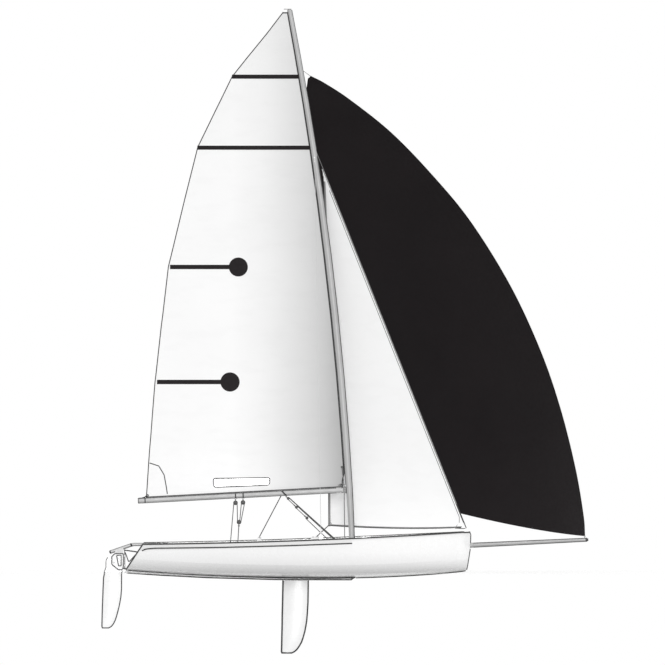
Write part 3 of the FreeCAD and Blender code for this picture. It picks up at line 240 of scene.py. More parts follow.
def hull_gelcoat():
    """White gelcoat with painted shade that greys it towards the waterline, where the hull's side turns
    under, away from the light.
    """
    s = Shader("hull_gelcoat", coat=0.3)
    broad = s.ramp(s.noise(1.3, 4), (0.35, 0.950), (0.65, 0.960))
    scuffs = s.ramp(s.noise(46, 6, (0.25, 1, 1)), (0.30, 0.93), (0.42, 1.0))
    # Painted shade: darker from z 0.42 down to the waterline and below it.
    split = s.node("ShaderNodeSeparateXYZ")
    s.link(s.place, split.inputs[0])
    reach = s.node("ShaderNodeMapRange")
    reach.inputs["From Min"].default_value = -0.10
    reach.inputs["From Max"].default_value = 0.42
    s.link(split.outputs["Z"], reach.inputs["Value"])
    painted_shade = s.ramp(reach.outputs[0], (0.0, 0.50), (0.10, 0.56), (0.26, 0.70), (0.48, 0.86), (0.72, 0.97),
                   (1.0, 1.0))
    s.colour(s.mix(1.0, s.mix(0.03, broad, scuffs, "MULTIPLY"), painted_shade, "MULTIPLY"))
    s.rough(s.noise(9, 5), 0.24, 0.31)
    s.bump(s.noise(60, 2), 0.02, 0.001)
    return s.material


def non_skid():
    s = Shader("deck_non_skid", coat=0.05)
    s.colour(s.ramp(s.noise(5, 5), (0.3, 0.60), (0.7, 0.70)))
    s.rough(s.noise(30, 4), 0.5, 0.7)
    cells = s.node("ShaderNodeTexVoronoi")
    cells.inputs["Scale"].default_value = 190
    s.link(s.place, cells.inputs["Vector"])
    s.bump(cells.outputs["Distance"], 0.55, 0.0012)
    return s.material


def metal(name, low, high, rough_low, rough_high, along, metallic):
    s = Shader(name, metallic=metallic)
    s.colour(s.ramp(s.noise(2.2, 5), (0.35, low), (0.65, high)))
    s.rough(s.noise(14, 6), rough_low, rough_high)
    s.bump(s.noise(320, 4, along), 0.10, 0.0005)
    return s.material


# Painted shade on the mainsail, darker towards the mast: share of the way forward, and tone.
LUFF_SHADES = [(0.0, 1.0), (0.07, 0.98), (0.246, 0.935), (0.334, 0.90), (0.466, 0.83), (0.599, 0.76),
               (0.731, 0.69), (0.82, 0.615), (0.907, 0.53), (1.0, 0.45)]


def sailcloth(name, low, high, dark_thread, rough_low, rough_high, specular=0.3, shaded=False):
    s = Shader(name, specular=specular)
    broad = s.ramp(s.noise(0.9, 4), (0.35, low), (0.65, high))
    creases = s.ramp(s.noise(5.5, 7, (0.5, 1, 1.6)), (0.36, 0.975), (0.5, 1.0))
    cloth = s.mix(0.6, broad, creases, "MULTIPLY")
    threads = s.math("MAXIMUM", s.bands("X", 39.0), s.bands("Z", 39.0))
    cloth = s.mix(0.5, cloth, s.ramp(threads, (0.955, 1.0), (1.0, dark_thread)), "MULTIPLY")
    # Painted shade: the mainsail's cloth greys towards the mast, as the luff_shade attribute tells.
    if shaded:
        held = s.node("ShaderNodeAttribute", attribute_name="luff_shade")
        cloth = s.mix(1.0, cloth, s.ramp(held.outputs["Fac"], *LUFF_SHADES), "MULTIPLY")
    s.colour(cloth)
    s.rough(s.noise(26, 4), rough_low, rough_high)
    s.bump(s.math("MULTIPLY", s.bands("X", 210.0), s.bands("Z", 210.0)), 0.12, 0.0004)
    s.bump(s.noise(3.2, 4, (0.6, 1, 1.5)), 0.06, 0.005)
    return s.material


def plastic(name, low, high, rough_low=0.32, rough_high=0.5):
    s = Shader(name)
    s.colour(s.ramp(s.noise(24, 5), (0.35, low), (0.65, high)))
    s.rough(s.noise(60, 4), rough_low, rough_high)
    s.bump(s.noise(520, 3), 0.12, 0.0003)
    return s.material


def webbing_cloth(name, low, high):
    s = Shader(name, sheen=0.15)
    s.colour(s.ramp(s.noise(18, 5), (0.3, low), (0.7, high)))
    s.rough(s.noise(60, 3), 0.7, 0.9)
    s.bump(s.math("ADD", s.bands("X", 120.0), s.bands("DIAGONAL", 160.0)), 0.5, 0.0006)
    return s.material


def rope_cloth(name, low, high, fleck):
    s = Shader(name, sheen=0.2)
    plait = s.math("MULTIPLY", s.bands("DIAGONAL", 95.0, 1.5), s.bands("Z", 120.0))
    base = s.ramp(s.noise(40, 4), (0.3, low), (0.7, high))
    s.colour(s.mix(s.ramp(plait, (0.62, 0.0), (0.72, 1.0)), base, fleck))
    s.rough(s.noise(80, 3), 0.65, 0.85)
    s.bump(plait, 0.6, 0.0008)
    return s.material


def window_film():
    s = Shader("window_film", specular=0.6)
    s.bsdf.inputs["Transmission Weight"].default_value = 0.82
    s.bsdf.inputs["IOR"].default_value = 1.02
    s.colour(s.ramp(s.noise(6, 3), (0.3, 0.93), (0.7, 0.98)))
    s.rough(s.noise(12, 5), 0.05, 0.14)
    s.bump(s.noise(9, 3), 0.05, 0.002)
    return s.material


LENGTHWISE, UPRIGHT, DRAWN, EVEN = (0.03, 1, 1), (1, 1, 0.03), (1, 1, 0.2), (1, 1, 1)
BLACK_LOW, BLACK_HIGH = (0.0098, 0.0078, 0.0086), (0.0122, 0.0098, 0.0106)
MAT = {
    "hull": hull_gelcoat(),
    "deck": gelcoat("deck_gelcoat", 0.83, 0.87, 0.25, 0.08),
    "foil": gelcoat("foil_gelcoat", 0.88, 0.91, 0.3),
    "skid": non_skid(),
    "alloy": metal("spar_alloy", 0.375, 0.42, 0.38, 0.5, UPRIGHT, 0.18),
    "boom_alloy": metal("boom_alloy", 0.38, 0.43, 0.38, 0.5, LENGTHWISE, 0.18),
    "tube": metal("tiller_tube", 0.46, 0.52, 0.34, 0.46, LENGTHWISE, 0.2),
    "sprit": metal("bowsprit_tube", 0.34, 0.39, 0.34, 0.46, LENGTHWISE, 0.18),
    "stock_alloy": metal("stock_alloy", 0.80, 0.86, 0.35, 0.5, DRAWN, 0.1),
    "steel": metal("stainless", 0.34, 0.44, 0.2, 0.34, EVEN, 0.75),
    "dark_steel": metal("dark_stainless", 0.05, 0.08, 0.26, 0.4, EVEN, 0.7),
    "bright_steel": metal("bright_steel", 0.62, 0.72, 0.2, 0.34, EVEN, 0.4),
    "wire": metal("rigging_wire", 0.20, 0.28, 0.4, 0.5, DRAWN, 0.3),
    "shroud_wire": metal("shroud_wire", 0.48, 0.54, 0.4, 0.5, DRAWN, 0.3),
    # Painted light: the jib's cloth is a lighter copy of the mainsail's, lifted against the shade that the
    # mainsail and spinnaker throw on it.
    "white": sailcloth("white_sailcloth", 0.972, 0.985, 0.985, 0.55, 0.72),
    "main": sailcloth("mainsail_cloth", 0.900, 0.918, 0.965, 0.55, 0.72, shaded=True),
    "black": sailcloth("black_sailcloth", BLACK_LOW, BLACK_HIGH, 0.7, 0.5, 0.66, 0.12),
    "band": sailcloth("black_tape", BLACK_LOW, BLACK_HIGH, 0.8, 0.5, 0.65, 0.12),
    "tape": webbing_cloth("edge_tape", 0.020, 0.034),
    "dark_tape": webbing_cloth("luff_tape", 0.014, 0.024),
    "light_tape": webbing_cloth("leech_tape", 0.24, 0.31),
    "webbing": webbing_cloth("webbing", 0.020, 0.040),
    "rope": rope_cloth("sheet_rope", 0.055, 0.085, 0.02),
    "dark_rope": rope_cloth("dark_rope", 0.022, 0.040, 0.14),
    "film": window_film(),
    "fitting": plastic("black_fitting", 0.018, 0.032),
    "rubber": plastic("rub_strip", 0.018, 0.030, 0.55, 0.75),
    "grey_fitting": plastic("grey_fitting", 0.22, 0.30),
    "pale_fitting": plastic("pale_fitting", 0.66, 0.74, 0.35, 0.5),
    "foil_edge": plastic("foil_edge_guard", 0.020, 0.034, 0.4, 0.6),
    "hatch": plastic("hatch_cover", 0.62, 0.70, 0.4, 0.55),
}

# The look of each solid that came with the frame.
CAD_LOOKS = {
    "hull": "hull", "deck": "deck centreboard_case", "foil": "centreboard rudder_blade",
    "alloy": "mast", "boom_alloy": "boom", "tube": "tiller tiller_extension",
    "sprit": "bowsprit bowsprit_collar", "stock_alloy": "rudder_stock",
    "steel": "centreboard_pin bow_fitting", "dark_steel": "rudder_gantry",
    "bright_steel": "chainplate_port chainplate_starboard", "wire": "forestay",
    "shroud_wire": "shroud_port shroud_starboard", "white": "jib mainsail", "black": "spinnaker",
    "dark_rope": "spinnaker_halyard tack_strop mainsheet_strop",
    "webbing": "toe_strap_port toe_strap_starboard",
    "fitting": "mast_step masthead_crane gooseneck mainsheet_base mainsheet_block boom_block_aft"
               " boom_block_front",
    "pale_fitting": "jib_fairlead_port jib_fairlead_starboard spinnaker_block_port"
                    " spinnaker_block_starboard",
}
for look, names in CAD_LOOKS.items():
    for node_name in names.split():
        mesh = NODES[node_name].data
        mesh.materials.clear()
        mesh.materials.append(MAT[look])

# The material slot that each look counts as, unless a piece says otherwise; piece() looks it up but does
# nothing with it.
SLOTS = {
    "main": "white_sailcloth", "white": "white_sailcloth", "tape": "white_sailcloth",
    "dark_tape": "white_sailcloth", "light_tape": "white_sailcloth", "film": "white_sailcloth",
    "black": "black_sailcloth", "band": "black_sailcloth", "rope": "webbing", "dark_rope": "webbing",
    "webbing": "webbing", "steel": "stainless", "dark_steel": "stainless", "bright_steel": "stainless",
    "skid": "deck_gelcoat", "foil_edge": "foil_gelcoat", "fitting": "black_fitting",
    "rubber": "black_fitting", "grey_fitting": "black_fitting", "pale_fitting": "black_fitting",
    "hatch": "black_fitting",
}

# ------------------------------------------------------------------ mesh helpers
X_AXIS, Y_AXIS, Z_AXIS = Vector((1, 0, 0)), Vector((0, 1, 0)), Vector((0, 0, 1))
BOTH = (("port", 1), ("starboard", -1))
SHARP = math.radians(42)
WELD = 1e-7


def ride_or_blend(obj, body):
    """Body "sail" is the mainsail's cloth, held by the mast at its luff and by the boom behind it; here its
    place is only baked into its mesh. None leaves an object as it is, and any other body parents it to that
    body's empty.
    """
    if body == "sail":
        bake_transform(obj)
    elif body is not None:
        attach(obj, body)


def piece(name, parts, look, body="hull", slot=None, smooth=True):
    """One object from a list of (verts, faces)."""
    verts, faces = [], []
    for more_verts, more_faces in parts:
        base = len(verts)
        verts += [tuple(v) for v in more_verts]
        faces += [tuple(i + base for i in face) for face in more_faces]
    mesh = bpy.data.meshes.new(name)
    mesh.from_pydata(verts, [], faces)
    mesh.validate()
    bm = bmesh.new()
    bm.from_mesh(mesh)
    bmesh.ops.remove_doubles(bm, verts=bm.verts, dist=WELD)
    bmesh.ops.recalc_face_normals(bm, faces=bm.faces)
    bm.to_mesh(mesh)
    bm.free()
    mesh.materials.append(MAT[look])
    if smooth:
        mesh.shade_smooth()
        mesh.set_sharp_from_angle(angle=SHARP)
    obj = bpy.data.objects.new(name, mesh)
    scene.collection.objects.link(obj)
    slot = SLOTS[look] if slot is None else slot
    ride_or_blend(obj, body)
    return obj


def steps(a, b, count):
    """Even steps from a to b, both ends included."""
    return [a + (b - a) * k / count for k in range(count + 1)]


def line_points(start, end, count):
    return [Vector(start).lerp(Vector(end), t) for t in steps(0, 1, count)]


def circle(count):
    """(cosine, sine) at even steps round a circle."""
    turns = [2 * math.pi * k / count for k in range(count)]
    return [(math.cos(a), math.sin(a)) for a in turns]


def skin(rings, count, wrap=False):
    """Faces between rings of count points: capped at both ends, or wrapped round to the first ring."""
    faces = []
    for i in range(rings if wrap else rings - 1):
        j = (i + 1) % rings
        for k in range(count):
            m = (k + 1) % count
            faces.append((i * count + k, i * count + m, j * count + m, j * count + k))
    if not wrap:
        faces += [tuple(reversed(range(count))), tuple(range((rings - 1) * count, rings * count))]
    return faces


def shell_faces(across, lines):
    """Faces of a thin closed shell: a grid of lines with across points each, then its far side."""
    faces, base = [], across * lines
    for j in range(lines - 1):
        for a in range(j * across, (j + 1) * across - 1):
            faces.append((a, a + 1, a + 1 + across, a + across))
            faces.append((a + base, a + across + base, a + 1 + across + base, a + 1 + base))
    rim = list(range(across)) + [j * across + across - 1 for j in range(1, lines)]
    rim += list(range(base - 2, base - across - 1, -1)) + [j * across for j in range(lines - 2, 0, -1)]
    for a, b in zip(rim, rim[1:] + rim[:1]):
        faces.append((a, b, b + base, a + base))
    return faces


def square_to(axis):
    """The unit axis and two directions square to it."""
    axis = Vector(axis).normalized()
    side = axis.cross(Z_AXIS if abs(axis.z) < 0.9 else Y_AXIS).normalized()
    return axis, side, axis.cross(side)


def frame_along(points):
    """A side and an up vector at each point of a path, carried along without twist."""
    frames = []
    side = None
    for i in range(len(points)):
        ahead = (points[min(i + 1, len(points) - 1)] - points[max(i - 1, 0)]).normalized()
        if side is None:
            side = square_to(ahead)[1]
        else:
            side = (side - ahead * side.dot(ahead)).normalized()
        frames.append((side, ahead.cross(side).normalized()))
    return frames


def tube_parts(points, radius, sides):
    """A closed tube along a path."""
    points = [Vector(p) for p in points]
    verts = []
    for point, (side, up) in zip(points, frame_along(points)):
        verts += [point + side * (radius * c) + up * (radius * s) for c, s in circle(sides)]
    return verts, skin(len(points), sides)


def tube(name, points, radius, look, body="hull", sides=10):
    return piece(name, [tube_parts(points, radius, sides)], look, body)


def lathe_parts(centre, axis, profile, sides=28):
    """A body of revolution: profile holds (radius, distance along the axis)."""
    axis, side, up = square_to(axis)
    verts = []
    for r, along in profile:
        middle = Vector(centre) + axis * along
        verts += [middle + side * (r * c) + up * (r * s) for c, s in circle(sides)]
    return verts, skin(len(profile), sides)


def lathe(name, centre, axis, profile, look, body="hull", sides=28):
    piece(name, [lathe_parts(centre, axis, profile, sides)], look, body)


def ring_parts(centre, axis, radius, thick, sides=24, section=10):
    """A round ring of round section."""
    axis, side, up = square_to(axis)
    verts = []
    for c, s in circle(sides):
        out = side * c + up * s
        for a, b in circle(section):
            verts.append(Vector(centre) + out * (radius + thick * a) + axis * (thick * b))
    return verts, skin(sides, section, wrap=True)


def slab_parts(outline, thick, to_world, bevel):
    """A flat plate from a 2-D outline, its edges bevelled: to_world(a, b, c) gives the place."""
    count = len(outline)
    cx = sum(p[0] for p in outline) / count
    cy = sum(p[1] for p in outline) / count
    reach = max(math.hypot(p[0] - cx, p[1] - cy) for p in outline)
    shrink = 1 - bevel / reach
    inner = [(cx + (p[0] - cx) * shrink, cy + (p[1] - cy) * shrink) for p in outline]
    half = thick / 2
    verts = []
    for ring, c in ((inner, -half), (outline, bevel - half), (outline, half - bevel), (inner, half)):
        verts += [to_world(a, b, c) for a, b in ring]
    return verts, skin(4, count)


def rounded(width, height, radius, corner_steps=6):
    """Outline of a rounded rectangle about the origin."""
    made = []
    for cx, cy, start in ((1, 1, 0), (-1, 1, 90), (-1, -1, 180), (1, -1, 270)):
        for turn in steps(start, start + 90, corner_steps):
            a = math.radians(turn)
            made.append((cx * (width / 2 - radius) + radius * math.cos(a),
                         cy * (height / 2 - radius) + radius * math.sin(a)))
    return made


def block_parts(centre, axis, radius, width):
    """A pulley: two cheeks, a grooved sheave and the heads of its pin."""
    w = width / 2
    half = [(0.004, -w - 0.003), (0.30 * radius, -w - 0.003), (0.33 * radius, -w), (0.86 * radius, -w),
            (radius, -w + 0.0025), (radius, -0.45 * w), (0.93 * radius, -0.40 * w)]
    return lathe_parts(centre, axis, half + [(0.72 * radius, 0.0)] + [(r, -z) for r, z in reversed(half)])


# ------------------------------------------------------------------ the boat's own lines
# All places are in metres, in the frame of the part.
MAST_FOOT, MAST_HEAD, MAST_BEND = (0.712, 0.235), (-0.110, 7.356), 0.134
MAST_SHARES = [0.0, 0.06, 0.12, 0.22, 0.33, 0.44, 0.55, 0.65, 0.74, 0.83, 0.92, 1.0]
CHORDS = [(0.0, 0.066), (0.12, 0.084), (0.55, 0.084), (0.74, 0.070), (1.0, 0.054)]


def between(table, value):
    """Straight-line reading of a table of (at, value) pairs."""
    if value <= table[0][0]:
        return table[0][1]
    for (a, va), (b, vb) in zip(table, table[1:]):
        if value <= b:
            return va + (vb - va) * (value - a) / (b - a)
    return table[-1][1]


def eased(table, value):
    """Monotone cubic reading of a table of (at, value) pairs."""
    if value <= table[0][0]:
        return table[0][1]
    slopes = [(b[1] - a[1]) / (b[0] - a[0]) for a, b in zip(table, table[1:])]
    tangents = [slopes[0]]
    for left, right in zip(slopes, slopes[1:]):
        tangents.append(0.0 if left * right <= 0 else 2 * left * right / (left + right))
    tangents.append(slopes[-1])
    for i, ((a, va), (b, vb)) in enumerate(zip(table, table[1:])):
        if value <= b:
            h = b - a
            t = (value - a) / h
            return ((2 * t ** 3 - 3 * t ** 2 + 1) * va + (t ** 3 - 2 * t ** 2 + t) * h * tangents[i]
                    + (3 * t ** 2 - 2 * t ** 3) * vb + (t ** 3 - t ** 2) * h * tangents[i + 1])
    return table[-1][1]


def spline(values, s):
    """Catmull-Rom reading, at share s, of evenly spaced values."""
    count = len(values)
    f = min(max(s * (count - 1), 0.0), count - 1 - 1e-9)
    i = int(f)
    t = f - i
    p1, p2 = values[i], values[i + 1]
    p0 = values[i - 1] if i > 0 else 2 * p1 - p2
    p3 = values[i + 2] if i + 2 < count else 2 * p2 - p1
    return 0.5 * (2 * p1 + (p2 - p0) * t + (2 * p0 - 5 * p1 + 4 * p2 - p3) * t ** 2
                  + (3 * p1 - p0 - 3 * p2 + p3) * t ** 3)


def mast_edge(share, side):
    x = MAST_FOOT[0] + (MAST_HEAD[0] - MAST_FOOT[0]) * share + 4 * MAST_BEND * share * (1 - share)
    return x + side * between(CHORDS, share) / 2


MAST_EDGES = {side: [(share, mast_edge(share, side)) for share in MAST_SHARES] for side in (-1, 1)}


def mast_x(z, side):
    """The mast's aft (-1) or front (1) face at height z."""
    share = min(max((z - MAST_FOOT[1]) / (MAST_HEAD[1] - MAST_FOOT[1]), 0.0), 1.0)
    return between(MAST_EDGES[side], share)


BOOM_PIN, BOOM_TAIL = Vector((0.582445, 0, 1.082)), Vector((-2.090, 0, 0.941))
HALF_DEPTH, HALF_WIDTH = 0.033, 0.026


def circle_through(points):
    """The centre and radius, as x, z and radius, of the circle through three places."""
    (ax, az), (bx, bz), (cx, cz) = points
    d = 2 * (ax * (bz - cz) + bx * (cz - az) + cx * (az - bz))
    a2, b2, c2 = ax ** 2 + az ** 2, bx ** 2 + bz ** 2, cx ** 2 + cz ** 2
    ux = (a2 * (bz - cz) + b2 * (cz - az) + c2 * (az - bz)) / d
    uz = (a2 * (cx - bx) + b2 * (ax - cx) + c2 * (bx - ax)) / d
    return ux, uz, math.hypot(ax - ux, az - uz)


SHEER_AFT, SHEER_FORE = -2.023, 2.25
SHEER = circle_through([(SHEER_AFT, 0.380), (0.0, 0.429), (SHEER_FORE, 0.536)])


def deck_z(x):
    """The height of the sheer line at x."""
    x = min(max(x, SHEER_AFT), SHEER_FORE)
    return SHEER[1] - math.sqrt(SHEER[2] ** 2 - (x - SHEER[0]) ** 2)


def surface_of(*names):
    """The named solids as one surface that rays can meet."""
    verts, faces = [], []
    for name in names:
        mesh = NODES[name].data
        base = len(verts)
        verts += [v.co.copy() for v in mesh.vertices]
        faces += [tuple(i + base for i in p.vertices) for p in mesh.polygons]
    return BVHTree.FromPolygons(verts, faces)


SHELL = surface_of("hull", "deck")
OUTSIDE = 3.0


def meet(start, way, tree=SHELL):
    """Where a ray first meets the hull and deck, or another surface."""
    return tree.ray_cast(Vector(start), Vector(way))[0]


def shell_y(x, z, side):
    """How far out the hull's or gunwale's side lies at a place."""
    hit = meet((x, side * OUTSIDE, z), (0, -side, 0))
    return None if hit is None else hit.y


def shell_top(x, y):
    """How high the deck's top lies at a place."""
    return meet((x, y, OUTSIDE), (0, 0, -1)).z


# ------------------------------------------------------------------ sail surfaces
MAIN_HEAD, MAIN_FOOT = 7.322, 1.1180
MAIN_HEIGHT = MAIN_HEAD - MAIN_FOOT
LUFF_GAP, TACK_TOP, TACK_CUT, SEARCH_PASSES = 0.007, 1.29, 0.031, 12
# Each table is read at the share of the way from head to foot.
MAIN_WIDTHS = [(0.0, 0.055), (0.0439, 0.312), (0.0967, 0.639), (0.1359, 0.873), (0.2063, 1.159),
               (0.2847, 1.471), (0.396, 1.741), (0.5352, 2.058), (0.6596, 2.237), (0.7776, 2.390),
               (0.9153, 2.530)]
MAIN_SAG = [(0.0, 0.0), (0.8, 0.0), (0.905, 0.044), (1.0, 0.1380)]
MAIN_DRAFT = [(0.0, 0.034), (0.1, 0.0465), (0.225, 0.062), (0.47, 0.062), (0.6, 0.053), (0.75, 0.043),
              (0.905, 0.0325), (1.0, 0.008)]
LOW_ROW, LOW_WIDTH = MAIN_WIDTHS[-1]
LOW_LUFF = mast_x(MAIN_HEAD - MAIN_HEIGHT * LOW_ROW, -1) - LUFF_GAP
LOW_LEECH = [(LOW_ROW, LOW_LUFF - LOW_WIDTH), (1.0, -1.986)]


def main_point(c, s):
    """The mainsail: c from luff to leech, s from head to foot."""
    z = MAIN_HEAD - MAIN_HEIGHT * s
    luff = mast_x(z, -1) - LUFF_GAP
    leech = between(LOW_LEECH, s) if s > LOW_ROW else luff - between(MAIN_WIDTHS, s)
    if z < TACK_TOP:
        t = (TACK_TOP - z) / (TACK_TOP - MAIN_FOOT)
        luff -= TACK_CUT * math.sin(min(1.0, 1.25 * t) * math.pi / 2)
    width = luff - leech
    t = c ** 0.8
    y = eased(MAIN_DRAFT, s) * width * 4 * t * (1 - t)
    return Vector((luff - width * c, y, z - eased(MAIN_SAG, s) * c))


def main_at(x, z):
    """(c, s) of the mainsail's point that shows at a place from the side."""
    c, s = 0.5, 0.5
    for _ in range(SEARCH_PASSES):
        s = min(max((MAIN_HEAD - z - eased(MAIN_SAG, s) * c) / MAIN_HEIGHT, 0.0), 1.0)
        a, b = main_point(0, s).x, main_point(1, s).x
        c = min(max((a - x) / (a - b), 0.0), 1.0)
    return c, s


STAY_FOOT_X, STAY_HEAD_Z, STAY_GAP = 2.200, 5.483, 0.0037
STAY_FOOT = Vector((STAY_FOOT_X, 0, deck_z(STAY_FOOT_X) + 0.044))
STAY_HEAD = Vector((mast_x(STAY_HEAD_Z, 1), 0, STAY_HEAD_Z))
JIB_HEAD, JIB_TACK, JIB_CLEW = 5.274, 0.580, Vector((0.396, 0.600, 0.602))
PEAK_X, PEAK_Y = 0.312, 0.005
JIB_BOW, JIB_SKEW, FOOT_ROUND = 0.075, 0.05, 0.026
FOOT_CUT, FOOT_CUT_FROM = 0.070, 0.985


def stay_x(z):
    return STAY_FOOT.x + (STAY_HEAD.x - STAY_FOOT.x) * (z - STAY_FOOT.z) / (STAY_HEAD.z - STAY_FOOT.z)


def port_of(chord):
    """The level direction square to a chord, to port."""
    side = Vector((-chord.y, chord.x, 0)).normalized()
    return -side if side.y < 0 else side


def jib_point(c, s):
    """The jib: c from luff to leech, s from head to foot."""
    z_luff = JIB_HEAD + (JIB_TACK - JIB_HEAD) * s
    cut = FOOT_CUT * max(0.0, (s - FOOT_CUT_FROM) / (1 - FOOT_CUT_FROM))
    luff = Vector((stay_x(z_luff) - STAY_GAP - cut, 0, z_luff))
    x = PEAK_X + (JIB_CLEW.x - PEAK_X) * s ** 0.4
    y = PEAK_Y + (JIB_CLEW.y - PEAK_Y) * (0.35 * s + 0.65 * math.sin(s * math.pi / 2) ** 0.9)
    leech = Vector((x, y, JIB_HEAD + (JIB_CLEW.z - JIB_HEAD) * s))
    chord = leech - luff
    t = c ** 0.88
    bow = 4 * c * (1 - c)
    skew = 4 * t * (1 - t) - bow
    place = luff.lerp(leech, c) + port_of(chord) * (JIB_BOW * (0.5 + 0.5 * s) * chord.length * bow)
    return place + Y_AXIS * (JIB_SKEW * skew * chord.length) - Z_AXIS * (FOOT_ROUND * s ** 6 * bow)


# The spinnaker from foot to head: x, y and z of its luff, then of its leech.
KITE = [
    (3.748, 0.000, 0.484, -0.013, 1.500, 1.402), (3.729, 0.060, 0.755, -0.026, 1.510, 1.670),
    (3.625, 0.220, 1.369, -0.065, 1.490, 2.192), (3.429, 0.380, 2.152, -0.098, 1.430, 2.844),
    (3.168, 0.480, 2.910, -0.118, 1.330, 3.432), (2.776, 0.560, 3.752, -0.118, 1.180, 4.059),
    (2.253, 0.580, 4.593, -0.091, 1.000, 4.673), (1.731, 0.540, 5.222, -0.039, 0.790, 5.195),
    (1.209, 0.440, 5.756, 0.013, 0.570, 5.679), (0.686, 0.300, 6.170, 0.078, 0.350, 6.070),
    (0.353, 0.180, 6.387, 0.117, 0.190, 6.315), (0.162, 0.070, 6.484, 0.138, 0.072, 6.462),
]
KITE_BOW, KITE_DIPS = 0.14, [-0.165, -0.095, -0.030] + [0.0] * 9


def kite_point(c, s):
    """The spinnaker: c from luff to leech, s from foot to head."""
    values = [spline(column, s) for column in zip(*KITE)]
    luff, leech = Vector(values[:3]), Vector(values[3:])
    chord = leech - luff
    return arc_point(luff, leech, port_of(chord), KITE_BOW * chord.length, spline(KITE_DIPS, s), c)


def arc_point(a, b, side, depth, dip, t):
    """A point of the round arc through a, b and the bow between them."""
    rise = side * depth + Z_AXIS * dip
    half, h = (b - a).length / 2, rise.length
    if h < 1e-9 or half < 1e-9:
        return a.lerp(b, t)
    radius = (half ** 2 + h ** 2) / (2 * h)
    reach = math.asin(min(1.0, half / radius))
    angle = -reach + 2 * reach * t
    along = (b - a).normalized() * (radius * math.sin(angle))
    return (a + b) / 2 + along + rise / h * (radius * math.cos(angle) - radius + h)


# ------------------------------------------------------------------ cloth helpers
CLOTH, EDGE, NEARBY, STRIP_TOP = 0.0024, 0.0125, 0.004, 0.96


def cloth_normal(a, b):
    """The direction square to both, to port."""
    n = a.cross(b)
    n = n.normalized() if n.length > 1e-12 else Y_AXIS
    return -n if n.y < 0 else n


def cloth_shell(name, point, columns, rows, look, body):
    """A closed thin shell over a surface: columns along c, rows along s."""
    grid = [[point(c, s) for c in steps(0, 1, columns)] for s in steps(0, 1, rows)]
    port, starboard = [], []
    for j, row in enumerate(grid):
        for i, place in enumerate(row):
            du = row[min(i + 1, columns)] - row[max(i - 1, 0)]
            dv = grid[min(j + 1, rows)][i] - grid[max(j - 1, 0)][i]
            port.append(place)
            starboard.append(place - cloth_normal(du, dv) * CLOTH)
    return piece(name, [(port + starboard, shell_faces(columns + 1, rows + 1))], look, body)


def area_of(point, count=60):
    """The cloth's area, from a grid of flat triangles."""
    total = 0.0
    for j in range(count):
        for i in range(count):
            corners = ((i, j), (i + 1, j), (i + 1, j + 1), (i, j + 1))
            a, b, c, d = (point(u / count, v / count) for u, v in corners)
            total += ((b - a).cross(c - a).length + (c - a).cross(d - a).length) / 2
    return total


def lift_from(point, c, s, offset):
    """A surface point, moved off the cloth along its normal; positive is to port."""
    a = point(min(c + NEARBY, 1.0), s) - point(max(c - NEARBY, 0.0), s)
    b = point(c, min(s + NEARBY, 1.0)) - point(c, max(s - NEARBY, 0.0))
    return point(c, s) + cloth_normal(a, b) * offset


def off_cloth(sign, gap=0.0003):
    """How far from the cloth's port face a strip on its port (1) or starboard (-1) face starts."""
    return gap if sign > 0 else -(CLOTH + gap)


def strip_on(name, point, path, width, look, proud=0.0011):
    """A flat strip of cloth or tape sewn along a path of (c, s) places, on both faces."""
    places = [point(c, s) for c, s in path]
    for face, sign in BOTH:
        base = off_cloth(sign)
        verts = []
        for i, (c, s) in enumerate(path):
            ahead = (places[min(i + 1, len(path) - 1)] - places[max(i - 1, 0)]).normalized()
            outer, inner = lift_from(point, c, s, base + sign * proud), lift_from(point, c, s, base)
            side = ahead.cross((outer - inner).normalized()).normalized() * (width / 2)
            verts += [inner + side, outer + side * STRIP_TOP, outer - side * STRIP_TOP, inner - side]
        body = "sail" if point is main_point else "hull"
        piece(name + "_" + face, [(verts, skin(len(path), 4))], look, body)


def disc_on(name, x, z, radius, proud=0.0022, rings=5, sides=40):
    """A round black patch on both faces of the mainsail, at a place seen from the side."""
    for face, sign in BOTH:
        base = off_cloth(sign)
        layers = [(share, base + sign * proud) for share in steps(0, 1, rings)] + [(1.0, base)]
        verts = []
        for share, offset in layers:
            r = radius * max(share, 0.001)
            verts += [lift_from(main_point, *main_at(x + r * c, z + r * s), offset) for c, s in circle(sides)]
        last, middle = (len(layers) - 1) * sides, len(verts)
        verts.append(lift_from(main_point, *main_at(x, z), base))
        faces = skin(len(layers), sides)[:-1]
        faces += [(last + k, last + (k + 1) % sides, middle) for k in range(sides)]
        piece(name + "_" + face, [(verts, faces)], "band", "sail")


def lane(start, end, count=40):
    """Even steps from one pair of numbers to another."""
    return list(zip(steps(start[0], end[0], count), steps(start[1], end[1], count)))


# ------------------------------------------------------------------ mainsail
MAIN = cloth_shell("main_cloth", main_point, 90, 190, "main", None)
WINDOW = [Vector(corner) for corner in ((-1.103, 1.226), (-0.372, 1.237), (-0.379, 1.150), (-1.094, 1.122))]
WINDOW_WIDE, WINDOW_TALL, WINDOW_CORNER = 0.728, 0.097, 0.026
# Where the mainsail's painted shade starts, and where it is darkest, towards the mast.
SHADE_FROM, SHADE_TO = -0.86, 0.62


def window_place(a, b):
    """The window's own place: a from its aft to its forward end, b from bottom to top."""
    return WINDOW[3].lerp(WINDOW[2], a).lerp(WINDOW[0].lerp(WINDOW[1], a), b)


def window_outline(grow):
    """The window's rounded outline in its own place, grown a little all round."""
    ring = rounded(WINDOW_WIDE + 2 * grow, WINDOW_TALL + 2 * grow, WINDOW_CORNER + grow, 7)
    return [(0.5 + x / WINDOW_WIDE, 0.5 + z / WINDOW_TALL) for x, z in ring]


def on_window(ring, offset):
    """Where the points of an outline lie, at a distance off the mainsail's port face."""
    return [lift_from(main_point, *main_at(*window_place(a, b)), offset) for a, b in ring]


